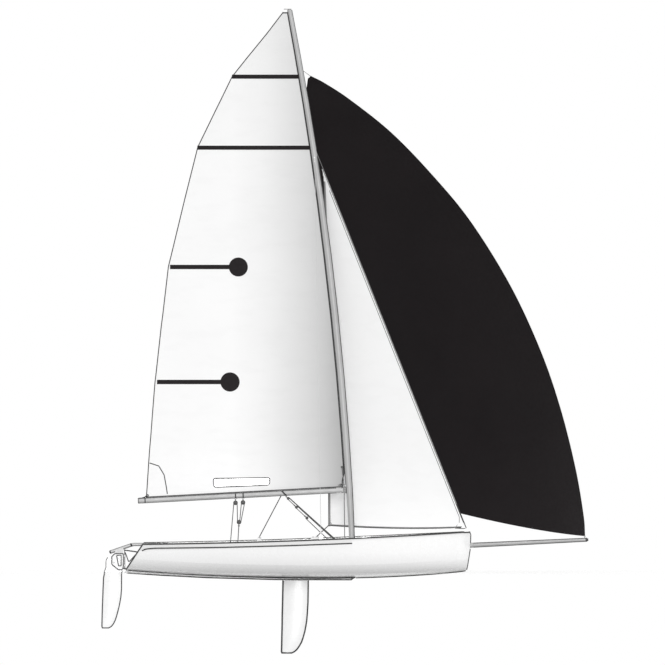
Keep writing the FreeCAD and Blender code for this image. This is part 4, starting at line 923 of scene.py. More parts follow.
def cut_window():
    """Open the window's hole in the mainsail, with a cutter that reaches well past both faces."""
    holes = [window_place(a, b) for a, b in window_outline(0.0)]
    verts = [(hole.x, y, hole.y) for y in (-0.3, 0.5) for hole in holes]
    cutter = piece("window_cutter", [(verts, skin(2, len(holes)))], "white", None, "", smooth=False)
    cut = MAIN.modifiers.new("window", "BOOLEAN")
    cut.object = cutter
    cut.operation = "DIFFERENCE"
    cut.solver = "EXACT"
    graph = bpy.context.evaluated_depsgraph_get()
    opened = bpy.data.meshes.new_from_object(MAIN.evaluated_get(graph))
    MAIN.modifiers.clear()
    MAIN.data = opened
    opened.shade_smooth()
    opened.set_sharp_from_angle(angle=SHARP)
    bpy.data.objects.remove(cutter)


cut_window()
# Painted shade: each point keeps its share of the way forward, which the mainsail's cloth reads.
held_shade = MAIN.data.attributes.new("luff_shade", "FLOAT", "POINT")
for i, v in enumerate(MAIN.data.vertices):
    held_shade.data[i].value = min(max((v.co.x - SHADE_FROM) / (SHADE_TO - SHADE_FROM), 0.0), 1.0)
ride_or_blend(MAIN, "sail")
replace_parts(MAIN, "mainsail")


def black_batten(name, left, right, z, width, count):
    """A batten pocket across the mainsail, from x left to right at height z."""
    path = [main_at(x, z) for x in steps(left, right, count)]
    strip_on(name, main_point, path, width, "band", 0.0016)


black_batten("full_batten_1", -0.880244, 0.028732, 6.479028, 0.054, 60)
black_batten("full_batten_2", -1.326896, 0.190676, 5.551768, 0.054, 60)
for index, left, middle, z, radius in ((1, -1.67168, -0.779682, 3.99371, 0.12407),
                                       (2, -1.84146, -0.88808, 2.49181, 0.125376)):
    black_batten("short_batten_%d" % index, left, middle, z, 0.057, 40)
    disc_on("batten_patch_%d" % index, middle, z, radius)
for name, start, end, count, width, look in (
        ("main_leech_tape", (0.9975, 0.0), (0.9975, 1.0), 190, EDGE, "tape"),
        ("main_luff_tape", (0.003, 0.0), (0.003, 0.998), 190, 0.016, "dark_tape"),
        ("main_foot_tape", (0.0, 0.9988), (1.0, 0.9988), 80, EDGE, "tape"),
        ("main_head_tape", (0.0, 0.0016), (1.0, 0.0016), 8, 0.016, "tape")):
    strip_on(name, main_point, lane(start, end, count), width, look)

# Each face of the film runs in from its outline to a line along the window's middle.
film_ring = window_outline(0.004)
film_middle = [(0.5 + (a - 0.5) * 0.93, 0.5) for a, b in film_ring]
film_verts = on_window(film_middle, -0.0005) + on_window(film_ring, -0.0005)
film_verts += on_window(film_ring, -0.0017) + on_window(film_middle, -0.0017)
piece("main_window", [(film_verts, skin(4, len(film_ring))[:-2])], "film", "sail")
for face, sign in BOTH:
    hem = []
    for grow, rise in ((-0.004, 0), (-0.004, 0.0011), (0.0108, 0.0011), (0.0108, 0)):
        hem += on_window(window_outline(grow), off_cloth(sign, 0.0004) + sign * rise)
    piece("window_hem_" + face, [(hem, skin(4, len(film_ring), wrap=True))], "tape", "sail")

# ------------------------------------------------------------------ jib and spinnaker
JIB = cloth_shell("jib_cloth", jib_point, 60, 120, "white", "hull")
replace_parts(JIB, "jib")
KITE_SAIL = cloth_shell("spinnaker_cloth", kite_point, 90, 120, "black", "hull")
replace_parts(KITE_SAIL, "spinnaker")


def jib_width(s):
    """From luff to leech."""
    return (jib_point(1.0, s) - jib_point(0.0, s)).length


def beside(distance, from_s, to_s, aft=False):
    """A lane on the jib that keeps the same distance from its luff, or from its leech."""
    made = []
    for s in steps(from_s, to_s, 100):
        c = min(0.5, distance / jib_width(s))
        made.append((1 - c if aft else c, s))
    return made


TACK_SEAM = lane((0.032 / jib_width(0.97), 0.968), (0.090 / jib_width(0.97), 0.9945), 10)
for name, path, width, look, proud in (
        ("jib_leech_tape", beside(0.016, 0.035, 1.0, True), 0.026, "light_tape", 0.0011),
        ("jib_foot_band", lane((0.0, 0.9952), (1.0, 0.9952), 60), 0.012, "light_tape", 0.0010),
        ("jib_leech_edge", beside(0.003, 0.02, 1.0, True), 0.006, "tape", 0.0018),
        ("jib_foot_tape", lane((0.0, 0.9975), (1.0, 0.9975), 60), EDGE, "tape", 0.0011),
        ("jib_luff_edge", beside(0.004, 0.0, 0.985), 0.008, "tape", 0.0011),
        ("jib_tack_seam", TACK_SEAM, 0.007, "tape", 0.0011),
        ("jib_luff_seam", beside(0.032, 0.06, 0.968), 0.008, "tape", 0.0011)):
    strip_on(name, jib_point, path, width, look, proud)
for name, start, end, count in (("spinnaker_luff_tape", (0.0025, 0.0), (0.0025, 1.0), 150),
                                ("spinnaker_leech_tape", (0.9975, 0.0), (0.9975, 1.0), 150),
                                ("spinnaker_foot_tape", (0.0, 0.002), (1.0, 0.002), 90)):
    strip_on(name, kite_point, lane(start, end, count), 0.022, "band")

# ------------------------------------------------------------------ edge strips on the hull
SHEER_LINE = [(x, deck_z(x) - 0.0065) for x in (-2.017, -1.5, -1.0, -0.5, 0.0, 0.5, 1.0, 1.5, 2.0, 2.243)]
BAND_LINE = [(-2.0256, 0.2990), (-1.9851, 0.3199), (-1.8676, 0.3307), (-1.5150, 0.3351), (-0.9926, 0.3426),
             (-0.4702, 0.3563), (-0.0784, 0.3669), (0.1828, 0.3762), (0.4440, 0.3853), (0.7050, 0.3944)]
CHINE_LINE = [(-2.2476, 0.0418), (-1.5541, -0.0092), (-0.9011, -0.0405), (-0.2481, -0.0614),
              (0.2873, -0.0666), (0.7400, -0.0612)]


def trim(name, points, radius, sides=10):
    """A rubber strip on the hull."""
    tube(name, points, radius, "rubber", sides=sides)


def along_side(table, side, out=0.0):
    """Places on the hull's side, at heights read from a table of (x, z)."""
    made = []
    for x in steps(table[0][0], table[-1][0], 90):
        z = between(table, x)
        y = shell_y(x, z, side)
        if y is not None:
            made.append(Vector((x, y + side * out, z)))
    return made


def traced(starts, way, shift):
    """Where rays meet the hull, shifted a little. A ray that goes past it is left out."""
    hits = [meet(start, way) for start in starts]
    return [hit + Vector(shift) for hit in hits if hit is not None]


def gunwale(side):
    """The gunwale's edge on one side, from the transom forward."""
    run = [v + Z_AXIS * 0.0080 for v in along_side(SHEER_LINE, side, 0.003)]
    return [run[0] - Vector((0.018, 0, 0.014))] + run[:-1]


def transom_edge(side):
    """The transom's outer edge on one side, from bottom to top."""
    made = []
    for x, z in lane((-2.245656, 0.045918), (-2.026408, 0.3748865), 40):
        y = shell_y(x + 0.006, z, side)
        if y is not None:
            made.append(Vector((x + 0.004, y - side * 0.003, z)))
    return made


def keel_edge(side):
    """The edge of the flat bottom on one side, from the transom forward."""
    made = []
    for hit in traced([(x, side * 0.108, -2) for x in steps(-2.225, 0.745, 60)], Z_AXIS, (0, 0, 0)):
        y = shell_y(hit.x, hit.z + 0.006, side)
        made.append(Vector((hit.x, y - side * 0.001, hit.z + 0.005)))
    return made


port_run = gunwale(1)
bow_wide = 0.92 * abs(port_run[-1].y)
bow_starts = [(3, bow_wide * (1 - 2 * k / 12), 0.522) for k in range(1, 12)]
port_run += traced(bow_starts, -X_AXIS, (0.003, 0, 0.009))
trim("gunwale_strip", port_run + gunwale(-1)[::-1], 0.0096)
for side_name, side in BOTH:
    trim("rail_edge_" + side_name, along_side(BAND_LINE, side, 0.001), 0.0084)
    trim("chine_strip_" + side_name, along_side(CHINE_LINE, side), 0.0104)
    trim("transom_edge_" + side_name, transom_edge(side), 0.0094)
    trim("keel_strip_" + side_name, keel_edge(side), 0.0075, 8)
trim("fore_keel_strip", traced([(x, 0, -2) for x in steps(0.755, 2.205, 60)], Z_AXIS, (0, 0, -0.002)), 0.0088)
trim("stem_strip", traced([(3, 0, z) for z in steps(0.040, 0.530, 40)], -X_AXIS, (0.002, 0, 0)), 0.0110)


def foil_edge(name, node, top_aft, top_front, tip, radius):
    """A guard round a foil's aft edge, tip and front edge: set in under water, and proud above it."""
    tree = surface_of(node)
    path = []
    for toward, top in ((-1, top_aft), (1, top_front)):
        run = []
        for z in steps(top, tip, 70):
            hit = meet((toward * 5, 0, z), (-toward, 0, 0), tree)
            if hit is not None:
                shift = 0.0035 - 0.0055 * min(max((z + 0.03) / 0.06, 0.0), 1.0)
                run.append(Vector((hit.x - toward * shift, 0, z)))
        path += run if toward < 0 else run[::-1]
    tube(name, path, radius, "foil_edge", node, 8)


foil_edge("blade_edge", "rudder_blade", 0.200, 0.030, -0.7185, 0.0086)
foil_edge("board_edge", "centreboard", -0.098, -0.098, -1.0445, 0.0116)

# ------------------------------------------------------------------ spar details
SPRIT_START, SPRIT_TIP = Vector((2.250, 0, 0.3590)), Vector((3.7885, 0, 0.4330))
SPRIT_LONG, SPRIT_RISE, SPRIT_WIDE, SPRIT_NARROW = 1.54, 0.433 - 0.359, 0.025, 0.018
BOOM_WAY = (BOOM_TAIL - BOOM_PIN).normalized()


def up_mast(low, high, count, face, out, y=0.0):
    """A line up the mast's aft (-1) or front (1) face."""
    return [Vector((mast_x(z, face) + out, y, z)) for z in steps(low, high, count)]


def upright(way):
    """The direction in the boat's middle plane that is square to a way and points up."""
    up = Vector((-way.z, 0, way.x))
    return -up if up.z < 0 else up


BOOM_UP = upright(BOOM_WAY)
tube("mast_track", up_mast(1.15, 7.345, 90, -1, -0.0005), 0.0058, "fitting")
tube("mast_front_line", up_mast(5.53, 7.35, 40, 1, 0.0005), 0.0058, "rope", sides=8)
for name, up in (("sprit_top_line", 1), ("sprit_low_line", -1)):
    run = []
    for x in steps(2.289, 3.775, 30):
        share = (x - SPRIT_START.x) / SPRIT_LONG
        radius = SPRIT_WIDE + (SPRIT_NARROW - SPRIT_WIDE) * share
        run.append(Vector((x, 0, 0.359 + SPRIT_RISE * share + up * (radius + 0.0015))))
    tube(name, run, 0.0066, "dark_rope", sides=8)
tube("jib_halyard_fall", up_mast(0.262, 5.44, 80, 1, -0.0005, -0.012), 0.0058, "rope", sides=8)


def on_boom(x, up, y=0.0):
    """A place beside the boom's centre line at x, raised square to it."""
    return BOOM_PIN + BOOM_WAY * ((x - BOOM_PIN.x) / BOOM_WAY.x) + BOOM_UP * up + Vector((0, y, 0))


def along_boom(up, y=0.0):
    """A path along the whole boom."""
    return [on_boom(x, up, y) for x in (0.50, 0.0, -0.7, -1.4, -2.085)]


def boom_ring(offset, count=8):
    """Outline of the boom's section, (across, up), pushed out by offset."""
    made = []
    straight, radius = HALF_DEPTH - HALF_WIDTH, HALF_WIDTH + offset
    for start, centre in ((0, straight), (180, -straight)):
        for turn in steps(start, start + 180, count):
            a = math.radians(turn)
            made.append((radius * math.cos(a), centre + radius * math.sin(a)))
    return made


def boom_band(name, x_top, x_low, width, thick):
    """A strap that goes round the boom, its top and its low side at the x given."""
    inner, outer = boom_ring(0.0002), boom_ring(thick)
    verts = []
    for ring, shift in ((inner, -0.5), (outer, -0.5), (outer, 0.5), (inner, 0.5)):
        for across, up in ring:
            share = (up + HALF_DEPTH) / (2 * HALF_DEPTH)
            verts.append(on_boom(x_low + (x_top - x_low) * share + width * shift, up, across))
    piece(name, [(verts, skin(4, len(inner), wrap=True))], "webbing", "boom")


for side_name, side in BOTH:
    tube("boom_track_" + side_name, along_boom(HALF_DEPTH - 0.0040, side * 0.0140), 0.0058, "rubber", "boom")
tube("boom_keel_line", along_boom(-HALF_DEPTH + 0.0005), 0.0052, "fitting", "boom")
boom_band("sheet_strap_aft", -0.8155, -0.8155, 0.016, 0.0012)
boom_band("sheet_strap_front", -0.7160, -0.7160, 0.016, 0.0012)
boom_band("outhaul_band", -1.9965, -1.9965, 0.014, 0.0014)
boom_band("vang_strap", -0.213, -0.157, 0.026, 0.0013)
cap_ring = boom_ring(0.0018, 12)
cap = [BOOM_TAIL + BOOM_UP * up + Vector((0, a, 0)) for a, up in cap_ring]
cap += [v - BOOM_WAY * 0.010 for v in cap]
piece("boom_end_cap", [(cap, skin(2, len(cap_ring)))], "fitting", "boom")
for name, places, radius, look, sides in (
        ("clew_hook", ((-2.028, 0.003, -0.004), (-2.000, 0.008, -0.008), (-1.978, 0.024, -0.010),
                       (-1.962, 0.027, -0.010)), 0.0076, "fitting", 10),
        ("outhaul", ((-2.080, 0.002, -0.010), (-2.028, 0.004, -0.006), (-1.990, 0.016, -0.006)),
         0.0030, "rope", 8)):
    tube(name, [on_boom(x, HALF_DEPTH + up, y) for x, up, y in places], radius, look, "boom", sides)

# ------------------------------------------------------------------ mainsheet


def sheave_block(name, centre, radius, width, body, head_way, reach):
    """A pulley with side straps that run to its head, and a shackle there."""
    centre, head_way = Vector(centre), Vector(head_way).normalized()
    side = head_way.cross(Y_AXIS).normalized()
    half = width / 2
    parts = [block_parts(centre, Y_AXIS, radius, width)]
    strap = [(-0.30 * radius, -0.24 * radius), (radius + 0.35 * reach, -0.20 * radius),
             (radius + 0.5 * reach, 0.0), (radius + 0.35 * reach, 0.20 * radius),
             (-0.30 * radius, 0.24 * radius), (-0.42 * radius, 0.0)]
    for out in (-half - 0.0015, half + 0.0015):
        def to_world(a, b, c, out=out):
            return centre + head_way * a + side * b + Y_AXIS * (out + c)
        parts.append(slab_parts(strap, 0.0024, to_world, 0.0006))
    head = centre + head_way * (radius + 0.42 * reach)
    pin = [(0.0034, -half - 0.004), (0.0044, -half - 0.0025), (0.0030, -half)]
    parts.append(lathe_parts(head, Y_AXIS, pin + [(r, -at) for r, at in reversed(pin)], 14))
    eye = head + head_way * (0.35 * reach)
    parts.append(ring_parts(eye, side.cross(head_way), 0.34 * reach + 0.002, 0.0022, 20, 8))
    return piece(name, parts, "fitting", body)


for name, node, centre, body, head_way, reach in (
        ("sheet_block_aft", "boom_block_aft", (-0.816, 0, 0.914), "boom", (0, 0, 1), 0.040),
        ("sheet_block_front", "boom_block_front", (-0.718, 0, 0.919), "boom", (0, 0, 1), 0.040),
        ("sheet_block_lower", "mainsheet_block", (-0.770, 0, 0.662), "hull", (-0.06, 0, -1), 0.024)):
    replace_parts(sheave_block(name, centre, 0.0300, 0.0185, body, head_way, reach), node)
strop_path = line_points((-0.7895, 0.0, 0.3300), (-0.7710, 0.0, 0.6330), 24)
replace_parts(tube("sheet_strop_cover", strop_path, 0.0058, "rope"), "mainsheet_strop")
# Each fall of the sheet goes from the hull up to the boom.
for index, low, high in ((1, (-0.8885, 0.0, 0.318), (-0.8385, 0.0, 0.905)),
                         (2, (-0.7895, 0.0, 0.665), (-0.7945, 0.0, 0.905)),
                         (3, (-0.7605, 0.0, 0.672), (-0.7395, 0.0, 0.908)),
                         (4, (-0.7475, 0.0, 0.655), (-0.6985, 0.0, 0.908))):
    fall = tube("mainsheet_fall_%d" % index, line_points(low, high, 24), 0.0055, "rope", None)
    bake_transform(fall)
TURRET = [(0.034, 0.0), (0.034, 0.006), (0.030, 0.010), (0.016, 0.012), (0.014, 0.026), (0.010, 0.029),
          (0.005, 0.029)]
cleat = [lathe_parts((-0.8885, 0, 0.293), Z_AXIS, TURRET)]
CAM = [(0.008, 0.0), (0.011, 0.004), (0.0095, 0.008), (0.011, 0.012), (0.0095, 0.016), (0.009, 0.02)]
for sign in (-1, 1):
    cleat.append(lathe_parts((-0.905, sign * 0.012, 0.300), Z_AXIS, CAM, 16))
piece("mainsheet_cleat", cleat, "fitting")
MAIN_TAIL = [(-0.9, 0.0, 0.309), (-0.96, 0.01, 0.304), (-1.04, 0.03, 0.299), (-1.082, 0.036, 0.296)]
tube("mainsheet_tail", MAIN_TAIL, 0.0042, "rope")

# ------------------------------------------------------------------ vang and cunningham
# The vang swings with the boom about the mast's heel.
HEEL_X = 0.6715
HEEL = Vector((HEEL_X, 0, 0.262))
VANG_1, VANG_2, VANG_3 = Vector((-0.129, 0, 0.972)), Vector((-0.021, 0, 0.857)), Vector((0.116, 0, 0.717))
VANG_WAY = (HEEL - VANG_1).normalized()
VANG_UP = upright(VANG_WAY)
HEEL_TOP = HEEL + Vector((-0.012, 0, 0.012))
sheave_block("vang_block_top", VANG_1, 0.0190, 0.0120, "boom", -VANG_WAY, 0.020)
sheave_block("vang_block_middle", VANG_2, 0.0200, 0.0120, "boom", -VANG_WAY, 0.018)
sheave_block("vang_block_lower", VANG_3, 0.0200, 0.0120, "boom", -VANG_WAY, 0.018)
for name, start, end, count, radius, look, sides in (
        ("vang_leader", on_boom(-0.160, -HALF_DEPTH), VANG_1 - VANG_WAY * 0.018, 6, 0.0050, "webbing", 10),
        ("vang_upper", VANG_1 + VANG_UP * 0.0135, HEEL_TOP + VANG_UP * 0.006, 24, 0.0078, "rope", 10),
        ("vang_second", VANG_2 + VANG_UP * 0.020, HEEL_TOP - VANG_UP * 0.007, 24, 0.0078, "dark_rope", 10),
        ("vang_link_1", VANG_1 - VANG_UP * 0.010, VANG_2 - VANG_WAY * 0.02, 8, 0.0050, "rope", 8),
        ("vang_link_2", VANG_2 - VANG_UP * 0.010, VANG_3 - VANG_WAY * 0.02, 8, 0.0050, "rope", 8),
        ("vang_fall", VANG_3 - VANG_UP * 0.0145, (0.560, 0.0, 0.274), 24, 0.0055, "rope", 8)):
    tube(name, line_points(start, end, count), radius, look, "boom", sides)
swivel = [
    lathe_parts((HEEL_X, 0, 0.2400), Z_AXIS, [(0.020, 0.0), (0.020, 0.005), (0.010, 0.008), (0.008, 0.03),
                                              (0.005, 0.033)], 24),
    slab_parts([(0.664, 0.244), (0.664, 0.268), (0.560, 0.282), (0.548, 0.272), (0.552, 0.260)], 0.010,
               lambda a, b, c: Vector((a, c, b)), 0.002)]
lathe("vang_swivel_base", (HEEL_X, 0, 0.2340), Z_AXIS, [(0.013, 0.0), (0.013, 0.0018), (0.008, 0.0032)],
      "steel", sides=24)
piece("vang_swivel", swivel, "fitting", "boom")

# The cunningham goes down the mast's starboard side, clear of the boom as it swings.
LEAD, LOW_EYE = (0.6030, -0.0395, 1.118), (0.6120, -0.0560, 0.242)
tube("cunningham_top", line_points((0.5755, -0.0065, 1.378), LEAD, 10), 0.0052, "rope", sides=8)
tube("cunningham_line", line_points(LEAD, LOW_EYE, 20), 0.0050, "rope", sides=8)
lead_arm = [(0.6085, -0.034, 1.118), (0.622, -0.022, 1.119), (0.634, -0.014, 1.120)]
piece("cunningham_lead", [ring_parts(LEAD, Z_AXIS, 0.0065, 0.0022, 20, 8), tube_parts(lead_arm, 0.0034, 10)],
      "steel")
lathe("cunningham_eye_foot", (0.6120, -0.0560, 0.2345), Z_AXIS,
      [(0.011, 0.0), (0.011, 0.003), (0.006, 0.005), (0.005, 0.010)], "steel", sides=18)

# ------------------------------------------------------------------ sheets, tack lines and sail corners
CLEW_RING, CLEW_AXIS = (0.4185, 0.600, 0.633), (0.3, 1, 0)
piece("jib_clew_ring", [ring_parts(CLEW_RING, CLEW_AXIS, 0.0200, 0.0056),
                        ring_parts(CLEW_RING, CLEW_AXIS, 0.0095, 0.0034, 24, 8)], "steel")
tube("jib_sheet", line_points((0.4070, 0.600, 0.620), (0.2280, 0.655, 0.452), 24), 0.0064, "rope")
JIB_TAIL = [(0.2280, 0.655, 0.452), (0.200, 0.640, 0.447), (0.150, 0.622, 0.440), (0.095, 0.608, 0.4395),
            (0.070, 0.594, 0.420), (0.062, 0.590, 0.300), (0.066, 0.560, 0.180), (0.05, 0.46, 0.163),
            (-0.08, 0.42, 0.162), (-0.22, 0.46, 0.162)]
tube("jib_sheet_tail", JIB_TAIL, 0.0038, "rope")
tube("spinnaker_sheet", line_points((-0.0130, 1.5, 1.395), (-0.505, 0.906, 0.4640), 40), 0.0064, "rope")
KITE_TAIL = [(-0.505, 0.900, 0.462), (-0.515, 0.80, 0.428), (-0.50, 0.66, 0.420), (-0.495, 0.598, 0.415),
             (-0.49, 0.588, 0.30), (-0.48, 0.54, 0.166), (-0.42, 0.44, 0.162), (-0.30, 0.40, 0.162)]
tube("spinnaker_sheet_tail", KITE_TAIL, 0.0038, "rope")
trim("stay_sleeve", [Vector((stay_x(z), 0, z)) for z in (0.585, 0.66, 0.74, 0.82, 0.90)], 0.0062)
tube("jib_tack_line", line_points((2.052, 0.0, 0.5835), (2.188, 0.0, 0.5760), 10), 0.0055, "rope", sides=8)
piece("jib_tack_ring", [ring_parts((2.056, 0, 0.5895), Y_AXIS, 0.0085, 0.0026, 20, 8)], "steel")
piece("kite_tack_ring", [ring_parts((3.7440, 0.000, 0.4760), Y_AXIS, 0.0100, 0.0026, 20, 8)], "steel")

CLEW_LINE = [(-1.9368, 1.4340), (-1.8180, 1.3948), (-1.7474, 1.2772), (-1.7174, 1.1075), (-1.7056, 1.0291)]
clew_places = [place for a, b in zip(CLEW_LINE, CLEW_LINE[1:]) for place in lane(a, b, 8)[:-1]]
clew_path = [main_at(x, z) for x, z in clew_places + CLEW_LINE[-1:]]
strip_on("main_clew_seam", main_point, clew_path, EDGE, "tape", 0.0012)


def eyelet(name, x, z, radius):
    """A pressed metal ring in a corner of the mainsail."""
    c, s = main_at(x, z)
    middle = lift_from(main_point, c, s, -CLOTH / 2)
    way = lift_from(main_point, c, s, 1.0) - main_point(c, s)
    rings = [ring_parts(middle, way, radius, 0.0034), ring_parts(middle, way, radius * 0.62, 0.0030, 24, 8)]
    piece(name, rings, "fitting", "sail", "stainless")


eyelet("cunningham_eye", 0.5730, 1.3800, 0.0120)
eyelet("main_tack_eye", 0.5560, 1.1500, 0.0110)
eyelet("main_clew_eye", -1.9620, 1.0120, 0.0120)
LASHING = [(0.520, -0.004, 1.146), (0.556, -0.012, 1.142), (0.590, -0.012, 1.150), (0.612, -0.008, 1.158)]
tube("main_tack_lashing", LASHING, 0.0032, "rope", sides=8)

# ------------------------------------------------------------------ rudder, gantry and tiller
STOCK = [(-2.2815, 0.060), (-2.2815, 0.2505), (-2.392, 0.2505), (-2.4305, 0.213), (-2.4305, 0.110),
         (-2.346, 0.0415), (-2.300, 0.0415)]
OPENING = [(-2.3085, 0.0905), (-2.3085, 0.2315), (-2.3695, 0.2275), (-2.3430, 0.0905)]
CHEEK_SIDE = 0.0252
# Each bolt of the stock: x and z, radius, how far out, and sides of its head.
BOLTS = ((-2.404, 0.135, 0.010, 0.0308, 6), (-2.296, 0.245, 0.005, CHEEK_SIDE, 16),
         (-2.296, 0.066, 0.005, CHEEK_SIDE, 16))
# The gantry's brace on the port side: x, y and z.
BRACE = ((-2.256, 0.007, 0.264), (-2.233, 0.030, 0.205), (-2.218, 0.050, 0.162), (-2.210, 0.058, 0.148),
         (-2.201, 0.064, 0.150), (-2.160, 0.085, 0.195), (-2.090, 0.118, 0.270))


def closed_run(corners, y, radius):
    """A closed path through corners (x, z), each corner rounded."""
    made = []
    corners = [Vector((x, y, z)) for x, z in corners]
    for i, b in enumerate(corners):
        a, c = corners[i - 1], corners[(i + 1) % len(corners)]
        start, end = b + (a - b).normalized() * radius, b + (c - b).normalized() * radius
        made += [start * (1 - t) ** 2 + b * (2 * t * (1 - t)) + end * t ** 2 for t in steps(0, 1, 4)]
    return made + made[:2]


for side_name, side in BOTH:
    out = side * CHEEK_SIDE
    tube("stock_edge_" + side_name, closed_run(STOCK, out, 0.008), 0.0068, "fitting", "rudder", 8)
    tube("stock_opening_" + side_name, closed_run(OPENING, out, 0.006), 0.0060, "fitting", "rudder", 8)
    bolts = [lathe_parts((x, side * base, z), (0, side, 0),
                         [(r, 0.0), (r, 0.002), (0.8 * r, 0.0034), (0.3 * r, 0.0040)], sides)
             for x, z, r, base, sides in BOLTS]
    piece("stock_bolts_" + side_name, bolts, "steel", "rudder")
    tube("gantry_brace_" + side_name, [(x, side * y, z) for x, y, z in BRACE], 0.0068, "dark_steel")

TILLER_Z = 0.370
SLEEVE_END, SLEEVE_WAY = Vector((-2.458, 0, 0.268)), Vector((0.299, 0, 0.102)).normalized()
SLEEVE_UP = upright(SLEEVE_WAY)
for name, up in (("tiller_top_line", 1), ("tiller_low_line", -1)):
    run = [SLEEVE_END + SLEEVE_WAY * d + SLEEVE_UP * (up * 0.0185) for d in (0.004, 0.08, 0.16, 0.24, 0.300)]
    run += [Vector((x, 0, TILLER_Z + up * 0.0165)) for x in (-2.140, -2.0, -1.86, -1.70)]
    tube(name, run, 0.0042, "fitting", "rudder", 8)


def ribs(low, high, heights, pitch, count):
    """Profile of a grip's ribs: low, high and low again at three heights, once every pitch."""
    return [(r, at + pitch * k) for k in range(count) for r, at in zip((low, high, low), heights)]


GRIP = [(0.0150, 0.0), (0.0166, 0.004)] + ribs(0.0166, 0.0176, (0.006, 0.009, 0.012), 0.009, 24)
GRIP += [(0.0166, 0.224), (0.0120, 0.2285)]
STICK = [(0.0100, 0.0), (0.0114, 0.003)] + ribs(0.0114, 0.0121, (0.006, 0.0085, 0.0115), 0.011, 16)
STICK += [(0.0114, 0.186), (0.0085, 0.189)]
for name, look, centre, axis, profile in (
        ("tiller_plug", "fitting", SLEEVE_END, -SLEEVE_WAY,
         [(0.0178, -0.016), (0.0182, -0.002), (0.0150, 0.003), (0.0060, 0.0055)]),
        ("tiller_collar", "fitting", (-2.159, 0, TILLER_Z), SLEEVE_WAY,
         [(0.0172, -0.030), (0.0186, -0.027), (0.0186, -0.010), (0.0172, -0.007)]),
        ("tiller_grip", "rubber", (-1.688, 0, TILLER_Z), X_AXIS, GRIP),
        ("extension_grip", "rubber", (-1.916, 0.031, TILLER_Z), -X_AXIS, STICK)):
    lathe(name, centre, axis, profile, look, "rudder")
extension_joint = [
    lathe_parts((-1.498, 0.0155, TILLER_Z), Y_AXIS, [(0.0095, -0.001), (0.0105, 0.002), (0.0080, 0.005),
                                                     (0.0080, 0.012), (0.0105, 0.014)], 20),
    lathe_parts((-1.514, 0.031, TILLER_Z), X_AXIS, [(0.0104, 0.0), (0.0120, 0.003), (0.0120, 0.024),
                                                    (0.0090, 0.029)], 20)]
piece("extension_joint", extension_joint, "rubber", "rudder")

# ------------------------------------------------------------------ deck details
# Each non-slip pad on the port side: (x, y) of its inner and of its outer edge.
PADS = (
    ("pad_side_", [(-1.78, 0.625), (0.06, 0.625)], [(-1.78, 0.80), (-1.0, 0.865), (0.06, 0.872)]),
    ("pad_side_front_", [(0.37, 0.64), (0.60, 0.60), (0.92, 0.60)], [(0.37, 0.84), (0.92, 0.745)]),
    ("pad_fore_", [(0.975, 0.13), (1.90, 0.04)], [(0.975, 0.72), (1.45, 0.53), (1.90, 0.27)]),
    ("pad_floor_", [(-1.62, 0.300), (0.10, 0.300)], [(-1.62, 0.555), (0.10, 0.555)]),
    ("pad_middle_", [(-1.62, 0.060), (0.10, 0.060)], [(-1.62, 0.205), (0.10, 0.205)]),
    ("pad_aft_", [(-1.995, 0.475), (-1.845, 0.475)], [(-1.995, 0.79), (-1.845, 0.80)]),
)
HATCH = [(0.002, 0.0), (0.078, 0.0), (0.078, 0.0028), (0.074, 0.0044), (0.067, 0.0044), (0.0655, 0.0026),
         (0.0635, 0.0026), (0.062, 0.0046), (0.030, 0.0052), (0.028, 0.004), (0.024, 0.004),
         (0.0225, 0.0052), (0.002, 0.0054)]
DRAIN = [(0.044, -0.003), (0.046, 0.002), (0.042, 0.005), (0.034, 0.0052), (0.032, 0.0030), (0.010, 0.0034),
         (0.003, 0.0036)]
SMALL_CAM = [(0.005, 0.0), (0.008, 0.003), (0.007, 0.006), (0.008, 0.009), (0.007, 0.012), (0.006, 0.014)]
TANG = [(0.0115, -0.002), (0.0125, 0.0012), (0.0110, 0.0030), (0.0040, 0.0046)]
SCREW, SCREW_CIRCLE = [(0.0036, 0.0), (0.0034, 0.0012), (0.0012, 0.0014)], 0.0705
STRAP_SCREW = [(0.0052, 0.0), (0.0046, 0.0016), (0.0015, 0.0022)]
HATCH_X, HATCH_Y, CLEAT_X, CLEAT_Y, STRAP_Y = -1.965, 0.27, 0.100, 0.612, 0.25
TRANSOM_WAY = (-0.839, 0, 0.544)


def pad(name, side, inner, outer, radius=0.03, columns=40, rows=10):
    """A thin non-slip pad on the deck, with rounded corners."""
    x0, x1 = inner[0][0], inner[-1][0]
    top = []
    for share in steps(0, math.pi, columns):
        x = x0 + (x1 - x0) * (0.5 - 0.5 * math.cos(share))
        d = min(x - x0, x1 - x, radius)
        cut = radius - math.sqrt(max(0.0, radius ** 2 - (radius - d) ** 2))
        top += [(x, side * y) for y in steps(between(inner, x) + cut, between(outer, x) - cut, rows)]
    verts = [Vector((x, y, shell_top(x, y) + lift)) for lift in (0.0016, -0.002) for x, y in top]
    piece(name, [(verts, shell_faces(rows + 1, columns + 1))], "skid")


def level_slab(width, height, corner, thick, middle, bevel):
    """A plate with rounded corners that lies level about its middle."""
    outline = rounded(width, height, corner)
    return slab_parts(outline, thick, lambda a, b, c: Vector(middle) + Vector((a, b, c)), bevel)


